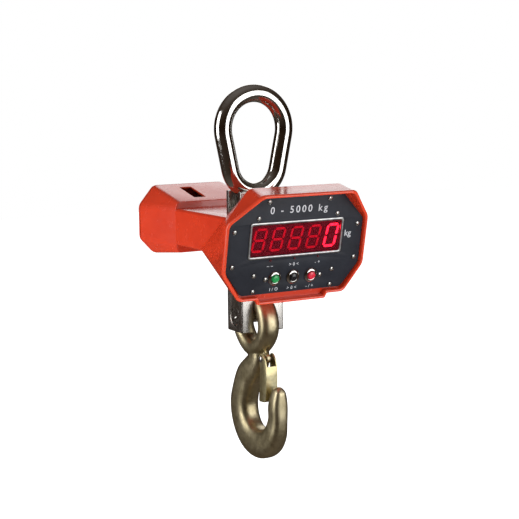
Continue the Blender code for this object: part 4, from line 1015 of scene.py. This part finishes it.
def pin_profile(half):
    """Headed pin with a circlip groove and a centre-drill mark in each end."""
    end = half - 0.0008
    seat = half - 0.0032
    groove = half - 0.0031
    head = 0.0127
    p = [(0.0001, -end + 0.0020), (0.0010, -end + 0.0018), (0.0030, -end), (head - 0.0008, -end)]
    p += [(head, -end + 0.0008), (head, -seat), (PIN_R, -seat), (PIN_R, groove)]
    p += [(PIN_R - 0.0012, groove), (PIN_R - 0.0012, groove + 0.0014), (PIN_R, groove + 0.0014)]
    p += [(PIN_R, end - 0.0008), (PIN_R - 0.0008, end)]
    p += [(0.0030, end), (0.0010, end - 0.0018), (0.0001, end - 0.0020)]
    return p


# ---------------------------------------------------------------- front panel
class SCALE_OT_panel(Operator):
    """Front panel, its window, frame, printed marks and screws"""

    bl_idname = "crane_scale.panel"
    bl_label = "Front panel"

    def execute(self, context):
        outline = rounded(eight(PANEL_OUT), 0.004, 8)
        window = window_line(0.0, 8)
        holes = [circle(0.0073, 40, (x, 0.0)) for _, x in BUTTONS]
        holes += [circle(0.0018, 24, (x, LAMPS_V)) for x in LAMPS_X]
        flat_piece(
            "panel_plate", [outline, window, *holes], -0.0020, 0.0, PANEL_AT, RIGHT, UP,
            "panel", "scale_body", 0.0003, replaces=("display_panel",), slot="panel_grey",
        )
        flat_piece(
            "window_filter", [window_line(0.0022, 8)], -0.0016, -0.0002, PANEL_AT, RIGHT, UP,
            "window", "scale_body", replaces=("display_window",), slot="red_filter",
        )
        foot = [(0.0003, -0.0020), (0.0003, 0.0003)]
        bead = [(-0.000992, 0.00095), (-0.0004, 0.0011), (0.00022, 0.0011), (0.00099, 0.00095)]
        bead += [(0.00165, 0.0007), (0.0018, 0.0004), (0.0018, -0.0020)]
        rows = [(window_line(shrink, 12), out) for shrink, out in foot]
        rows += [(window_line(-0.0016, 12, 0.0042), out) for out in (0.0003, 0.0006)]
        rows += [(window_line(shrink, 12), out) for shrink, out in bead]
        skin = ring_skin([on_panel(*flat.T, np.full(len(flat), out)) for flat, out in rows])
        piece("window_bead", *skin, "silver", "scale_body", ("window_frame",), "frame_silver", 50.0)
        head = cross_head(0.0031, 0.0009, 0.0008, 0.0)
        for number, (x, v) in enumerate(mirrored(SCREWS), 1):
            skin = head_in(head, on_panel(x, v, 0.0011), RIGHT, UP)
            name, real = f"screw_head_{number:02d}", f"panel_screw_{number:02d}"
            piece(name, *skin, "screw", "scale_body", (real,), "screw_steel")
        self.print_marks(context.scene.crane_scale_sizes.mark_height)
        return {"FINISHED"}

    def print_marks(self, height):
        """Generic marks only: a range, the unit, and plain signs."""
        mark("range_mark", "0 - 5000 kg", 0.0, 0.0950, 0.0098, 1.42)
        mark("unit_mark", "kg", 0.0830, 0.0560, 0.0088, 1.0)
        lamps = (("steady", "~ ~"), ("zero", "> 0 <"), ("charge", "- +"))
        for (name, sign), x in zip(lamps, LAMPS_X):
            mark(name + "_mark", sign, x, 0.0178, height, 1.1)
        for (name, x), sign in zip(BUTTONS, ("I / O", "> 0 <", "- / +")):
            mark(name + "_mark", sign, x, -0.0158, height, 1.1)


def mark(name, sign, x, v, height, spacing):
    """Printed sign: a text outline made a mesh, 0.07 mm proud of the panel."""
    curve = bpy.data.curves.new(name, "FONT")
    curve.body = sign
    curve.size = height / 0.72
    curve.space_character = spacing
    curve.align_x = "CENTER"
    curve.align_y = "CENTER"
    curve.extrude = 0.00003
    curve.offset = height * 0.012
    mesh = curve_mesh(name, curve, RIGHT, UP, on_panel(x, v, 0.00004))
    return dress(place_object(name, mesh), "ink", "scale_body")


def window_line(shrink, steps, radius=0.0030):
    """Outline of the window, moved inwards by shrink."""
    hw, lo, hi = WINDOW
    hw, lo, hi = hw - shrink, lo + shrink, hi - shrink
    return rounded([(-hw, lo), (hw, lo), (hw, hi), (-hw, hi)], radius, steps)


# --------------------------------------------------------------------- figures
def bar_points(cx, cv, length, half, upright, slant):
    """One bar of a figure, pointed at both ends, leaning with the slant."""
    run = length / 2
    low = [(-run, 0), (-run + half, -half), (run - half, -half)]
    base = np.array(low + [(-x, -v) for x, v in low])
    x, v = (-base[:, 1], base[:, 0]) if upright else (base[:, 0], base[:, 1])
    return np.c_[cx + x + slant * (cv + v), cv + v]


def figure_bars():
    """Seven bars about the middle of a figure: top, middle, bottom, then the
    left and right uprights, low before high."""
    slant = math.tan(math.radians(10))
    w, h, half, gap = 0.0165, 0.0300, 0.00155, 0.0005
    spots = [(0, cv, w - 2 * gap, False) for cv in (h / 2, 0, -h / 2)]
    sides = [(sx, sz) for sx in (-1, 1) for sz in (-1, 1)]
    spots += [(sx * w / 2, sz * h / 4, h / 2 - 2 * gap, True) for sx, sz in sides]
    return [bar_points(cx, cv, run - half * 0.4, half, up, slant) for cx, cv, run, up in spots]


class SCALE_OT_figures(Operator):
    """Five slanted seven-bar figures behind the window"""

    bl_idname = "crane_scale.figures"
    bl_label = "Figures"

    def execute(self, context):
        bars = figure_bars()
        for number in range(5):
            x = DIGITS_X + (number - 2) * DIGIT_PITCH
            lit = number == 4
            shown = [0, 2, 3, 4, 5, 6] if lit else list(range(7))
            rows = []
            faces = []
            for k in shown:
                flat = bars[k] + [x, DIGIT_V]
                ends = [on_panel(*flat.T, np.full(len(flat), out)) for out in (-0.0037, -0.0032)]
                verts, sides = bar_skin(ends)
                faces += [[i + len(rows) * len(verts) for i in f] for f in sides]
                rows.append(verts)
            # The four idle figures are unlit and carry a painted glow; only the last is lit.
            name, finish = f"figure_{number + 1}", "lit" if lit else "dim"
            piece(name, np.concatenate(rows), faces, finish, "scale_body", (), "digit")
        return {"FINISHED"}


# --------------------------------------------------------------------- buttons
class SCALE_OT_buttons(Operator):
    """Three push buttons in chrome bezels, lamps and the charging socket"""

    bl_idname = "crane_scale.buttons"
    bl_label = "Buttons"

    def execute(self, context):
        bezel = [(0.0057, -0.0060), (0.0070, -0.0060), (0.0070, 0.0003), (0.0100, 0.0003)]
        bezel += [(0.0100, 0.0012), (0.0084, 0.0024), (0.0068, 0.0027), (0.0061, 0.0025)]
        bezel += [(0.0057, 0.0016)]
        for colour, x in BUTTONS:
            spot = on_panel(x, 0.0, 0.0)
            ring = lathe(soften(bezel, 0.0005), spot, OUT, 64, True)
            real = f"bezel_{colour}"
            piece(real + "_ring", *ring, "bezel", "scale_body", (real,), "bezel_chrome")
            cap = [(0.0022, -0.0076), (0.0022, -0.0026), (0.0054, -0.0022)]
            cap += domed(0.0054, 0.0038, 0.0015, 9)
            skin = lathe(cap, spot, OUT, 48)
            body = f"button_{colour}"
            piece(f"cap_{colour}", *skin, colour, body, (body,), f"cap_{colour}", 40.0)
        lamp = [(0.0020, -0.0197), (0.0020, -0.0023), (0.0015, -0.0023)]
        lamp += domed(0.0015, 0.0003, 0.0010, 8)
        for number, x in enumerate(LAMPS_X, 1):
            skin = lathe(lamp, on_panel(x, LAMPS_V, 0.0), OUT, 32)
            real = f"status_led_{number}"
            piece(f"lamp_{number}", *skin, "lamp", "scale_body", (real,), "lamp", 40.0)
        boot = [(0.0032, -0.0060), (0.0055, -0.0060), (0.0055, 0.0003), (0.0082, 0.0003)]
        boot += [(0.0082, 0.0032), (0.0072, 0.0053), (0.0050, 0.0066), (0.0036, 0.0066)]
        skin = lathe(soften([*boot, (0.0032, 0.0050)], 0.0006), SOCKET_AT, SOCKET_AXIS, 48, True)
        piece("socket_boot", *skin, "socket", "scale_body", ("charge_socket",), "black_plastic")
        return {"FINISHED"}


def domed(radius, foot, rise, steps):
    """Profile of a dome: (radius cos a, foot + rise sin a), short of its pole."""
    a = np.linspace(0.0, math.pi / 2, steps)[:-1]
    return [(radius * math.cos(b), foot + rise * math.sin(b)) for b in a]


# ------------------------------------------------------------------------ hook
def forged_bar(line, count, sides, power=3.0):
    """Superellipse section carried along the hook's line: width in the plane
    of the hook, thickness across it, both from the stations."""
    line = catmull(line, count)
    along = np.gradient(line[:, :2], axis=0)
    along = along / np.linalg.norm(along, axis=1)[:, None]
    across = np.stack([along[:, 1], -along[:, 0]], 1)
    a = np.arange(sides) * 2 * math.pi / sides
    out = flattened(np.cos(a), power) * (line[:, 2:3] / 2)
    x = flattened(np.sin(a), power) * line[:, 3:4] / 2
    y = line[:, 0:1] + out * across[:, :1]
    z = line[:, 1:2] + out * across[:, 1:]
    return bar_skin(np.stack([x, y, z], -1))


def hook_eye():
    """Superellipse bar carried round the pin, drawn in below its middle to a
    pear: across it x = bar sin a, along it r = radius + bar cos a."""
    middle = HOOK_PIN_Z - EYE_HOLE + PIN_R + 0.0003
    t = (np.arange(96) * 2 * math.pi / 96)[:, None]
    a = np.arange(40) * 2 * math.pi / 40
    deep, wide = EYE_BAR
    x = np.broadcast_to(flattened(np.sin(a), 2.4) * wide, (96, 40))
    r = EYE_HOLE + deep + flattened(np.cos(a), 2.4) * deep
    pear = 1.0 - EYE_PEAR * np.maximum(0.0, -np.sin(t)) ** 2
    return ring_skin(np.stack([x, r * np.cos(t) * pear, middle + r * np.sin(t)], -1))


class SCALE_OT_hook(Operator):
    """Forged hook: eye, neck, bowl and tip grown together, then the latch"""

    bl_idname = "crane_scale.hook"
    bl_label = "Hook and latch"

    def execute(self, context):
        tip = HOOK_LINE[-1] + [-0.0004, 0.0015, -0.0060, -0.0060]
        hook = solid("hook_forging", *forged_bar(np.vstack([HOOK_LINE, tip]), 161, 48))
        gather(hook, *hook_eye())
        y0, z0 = LATCH_AT
        b = np.radians(np.linspace(100, 290, 24))
        ear = np.c_[y0 + 0.0075 * np.cos(b), z0 + 0.0075 * np.sin(b)]
        root = np.array([(0.0185, -0.0140), (0.0265, -0.0020), (0.0185, 0.0120)])
        gather(hook, *slab(np.vstack([ear, root + LATCH_AT]), -0.00325, 0.00325))
        mod = hook.modifiers.new("forge", "REMESH")
        mod.mode = "VOXEL"
        mod.voxel_size = 0.00095
        settle(hook)
        mod = hook.modifiers.new("scale", "SMOOTH")
        mod.factor = 0.5
        mod.iterations = 7
        settle(hook)
        dress(hook, "hook", "hook", ("hook",), "hook_zinc", 180.0)
        self.latch()
        return {"FINISHED"}

    def latch(self):
        """Pressed channel on its rivet: an outline with its inside cut away."""
        y0, z0 = LATCH_AT
        t = 0.0018
        front = [(-0.0133, -0.0060), (-0.0150, -0.0200), (-0.0145, -0.0400), (-0.0115, -0.0610)]
        rear = [(0.0060, -0.0625), (0.0040, -0.0400), (0.0030, -0.0240), (0.0028, -0.0120)]
        top = [(0.0046, -0.0030), (0.0040, 0.0030), (0.0005, 0.0070)]
        top += [(-0.0050, 0.0070), (-0.0100, 0.0020)]
        side = rounded(np.array(front + rear + top) + LATCH_AT, 0.0035, 7)
        body = solid("latch_channel", *slab(side, -LATCH_HALF, LATCH_HALF))
        hollow = [(-0.0200, -0.0065), (-0.0138 + t, -0.0105), (-0.0150 + t, -0.0200)]
        hollow += [(-0.0145 + t, -0.0400), (-0.0108 + t, -0.0660)]
        hollow += [(0.0185, -0.0660), (0.0185, 0.0180), (-0.0200, 0.0180)]
        cut(body, *slab(np.array(hollow) + LATCH_AT, t - LATCH_HALF, LATCH_HALF - t))
        drill(body, 0.0031, -0.03, 0.03, (0, y0, z0), (1, 0, 0), 32)
        dress(body, "latch", "latch", ("latch",), "latch_zinc", 34.0, 0.0007)
        shank = 0.0028
        half = LATCH_HALF + 0.0003
        head = [(shank, half), *domed(shank + 0.0020, half, 0.0022, 9)]
        rivet = lathe([(r, -h) for r, h in head[::-1]] + head, (0, y0, z0), (1, 0, 0), 40)
        piece("latch_rivet", *rivet, "pin", "hook", ("latch_bolt",), "bolt_steel", 40.0)


# ---------------------------------------------------------------- plain nodes
KEPT = {
    "battery": ("battery_pack",),
    "bracket": ("battery_tray", "bracket_left", "bracket_right", "gauge_cover"),
    "gasket": ("cover_gasket", "panel_gasket"),
    "cable": ("sensor_cable",),
    "board": ("display_board",),
    "switch": ("switch_black", "switch_green", "switch_red"),
    "module": tuple(f"led_digit_{n}" for n in range(1, 6)),
    "spring": ("latch_spring", "ring_pin_clip", "hook_pin_clip"),
}


class SCALE_OT_inside(Operator):
    """Finishes for the parts inside that keep their own shape"""

    bl_idname = "crane_scale.inside"
    bl_label = "Inner parts"

    def execute(self, context):
        for finish, names in KEPT.items():
            for name in names:
                obj = NODES[name]
                obj.data.materials.clear()
                obj.data.materials.append(FINISH[finish])
        return {"FINISHED"}


# ----------------------------------------------------------------------- stage
class SCALE_OT_stage(Operator):
    """Pale floor, soft light boxes and the camera"""

    bl_idname = "crane_scale.stage"
    bl_label = "Stage"

    def execute(self, context):
        sizes = context.scene.crane_scale_sizes
        low = CAD_BOX[0][2] - sizes.floor_drop
        n = 25
        side = np.linspace(-6.0, 6.0, n)
        gx, gy = np.meshgrid(side, side, indexing="ij")
        verts = np.stack([gx, gy, np.full_like(gx, low)], -1).reshape(-1, 3)
        i, j = np.meshgrid(np.arange(n - 1), np.arange(n - 1), indexing="ij")
        first = (i * n + j).ravel()
        quads = np.stack([first, first + n, first + n + 1, first + 1], -1)
        mesh = bpy.data.meshes.new("studio_floor")
        mesh.from_pydata(verts.tolist(), [], quads.tolist())
        mesh.materials.append(FINISH["paper"])
        floor = place_object("studio_floor", mesh)
        floor.visible_glossy = False
        self.lights()
        self.world(context)
        self.camera(context, sizes.camera_distance)
        context.scene.view_settings.view_transform = "Standard"
        return {"FINISHED"}

    def lights(self):
        """Soft boxes: place, width, height and power, each turned to the block."""
        middle = Vector((0.0, 0.0, -0.22))
        boxes = (
            ("left_box", (-2.00, 0.45, 0.20), 1.2, 2.0, 26.0),
            ("front_box", (0.85, -1.85, 0.05), 1.5, 1.8, 24.0),
            ("back_box", (1.15, 1.95, 0.70), 1.5, 1.4, 10.0),
        )
        for name, at, wide, tall, watts in boxes:
            lamp = bpy.data.lights.new(name, "AREA")
            lamp.shape = "RECTANGLE"
            lamp.size = wide
            lamp.size_y = tall
            lamp.energy = watts
            obj = place_object(name, lamp)
            obj.location = at
            obj.rotation_euler = (Vector(at) - middle).to_track_quat("Z", "Y").to_euler()

    def world(self, context):
        """White studio for the eye and for the matt surfaces; a dark warm room
        for what the metal mirrors, so that the light boxes stand out in it."""
        world = bpy.data.worlds.new("studio_room")
        context.scene.world = world
        world.use_nodes = True
        tree = world.node_tree
        tree.nodes.clear()
        out = node(tree, "ShaderNodeOutputWorld")
        where = node(tree, "ShaderNodeTexCoord")
        split = node(tree, "ShaderNodeSeparateXYZ", links={0: where.outputs["Generated"]})
        height = spread(tree, split.outputs["Z"], 0.0, 1.0, -1.0, 1.0)
        room = ramp(
            tree, height, (0.0, "6A625A"), (0.30, "3A3028"), (0.48, "22160E"),
            (0.60, "2A1E14"), (0.80, "443A32"), (1.0, "6A6460"),
        )
        shade = node(tree, "ShaderNodeBackground", links={"Color": room}, Strength=1.0).outputs[0]
        ray = node(tree, "ShaderNodeLightPath")
        for kind, strength in (("Is Diffuse Ray", 0.50), ("Is Camera Ray", 1.0)):
            plain = node(tree, "ShaderNodeBackground", Color=linear("FFFFFF"), Strength=strength)
            links = {0: ray.outputs[kind], 1: shade, 2: plain.outputs[0]}
            shade = node(tree, "ShaderNodeMixShader", links=links).outputs[0]
        tree.links.new(shade, out.inputs["Surface"])

    def camera(self, context, distance):
        """Camera that looks at the middle of the block from the distance given."""
        az, el = CAMERA_AZIMUTH, CAMERA_RISE
        back = Vector((math.sin(az) * math.cos(el), -math.cos(az) * math.cos(el), math.sin(el)))
        data = bpy.data.cameras.new("studio_camera")
        data.sensor_width = SENSOR_MM
        data.lens = LENS_MM
        data.shift_x, data.shift_y = FRAME_SHIFT
        data.clip_end = 50.0
        cam = place_object("studio_camera", data)
        cam.location = Vector((0.0, 0.0, -CROWN)) + back * distance
        turn = back.to_track_quat("Z", "Y").to_matrix() @ Matrix.Rotation(CAMERA_ROLL, 3, "Z")
        cam.rotation_euler = turn.to_euler()
        context.scene.camera = cam


class SCALE_PT_sidebar(Panel):
    """Lists the pieces in the order they are made"""

    bl_idname = "SCALE_PT_sidebar"
    bl_label = "Crane scale"
    bl_space_type = "VIEW_3D"
    bl_region_type = "UI"
    bl_category = "Crane scale"

    def draw(self, context):
        scene = context.scene
        for group in (scene.crane_scale_sizes, scene.crane_scale_colours):
            box = self.layout.box()
            for key in group.__annotations__:
                box.prop(group, key)
        for step in STEPS:
            self.layout.operator(step.bl_idname)


STEPS = (
    SCALE_OT_ring, SCALE_OT_block, SCALE_OT_housing, SCALE_OT_panel,
    SCALE_OT_figures, SCALE_OT_buttons, SCALE_OT_hook, SCALE_OT_inside, SCALE_OT_stage,
)
CLASSES = (ScaleSizes, ScaleColours, *STEPS, SCALE_PT_sidebar)


def register():
    for cls in CLASSES:
        bpy.utils.register_class(cls)
    bpy.types.Scene.crane_scale_sizes = PointerProperty(type=ScaleSizes)
    bpy.types.Scene.crane_scale_colours = PointerProperty(type=ScaleColours)


def unregister():
    del bpy.types.Scene.crane_scale_colours
    del bpy.types.Scene.crane_scale_sizes
    for cls in reversed(CLASSES):
        bpy.utils.unregister_class(cls)


def main():
    register()
    make_finishes(bpy.context.scene.crane_scale_colours)
    for step in STEPS:
        group, call = step.bl_idname.split(".")
        getattr(getattr(bpy.ops, group), call)()


if __name__ == "__main__":
    main()
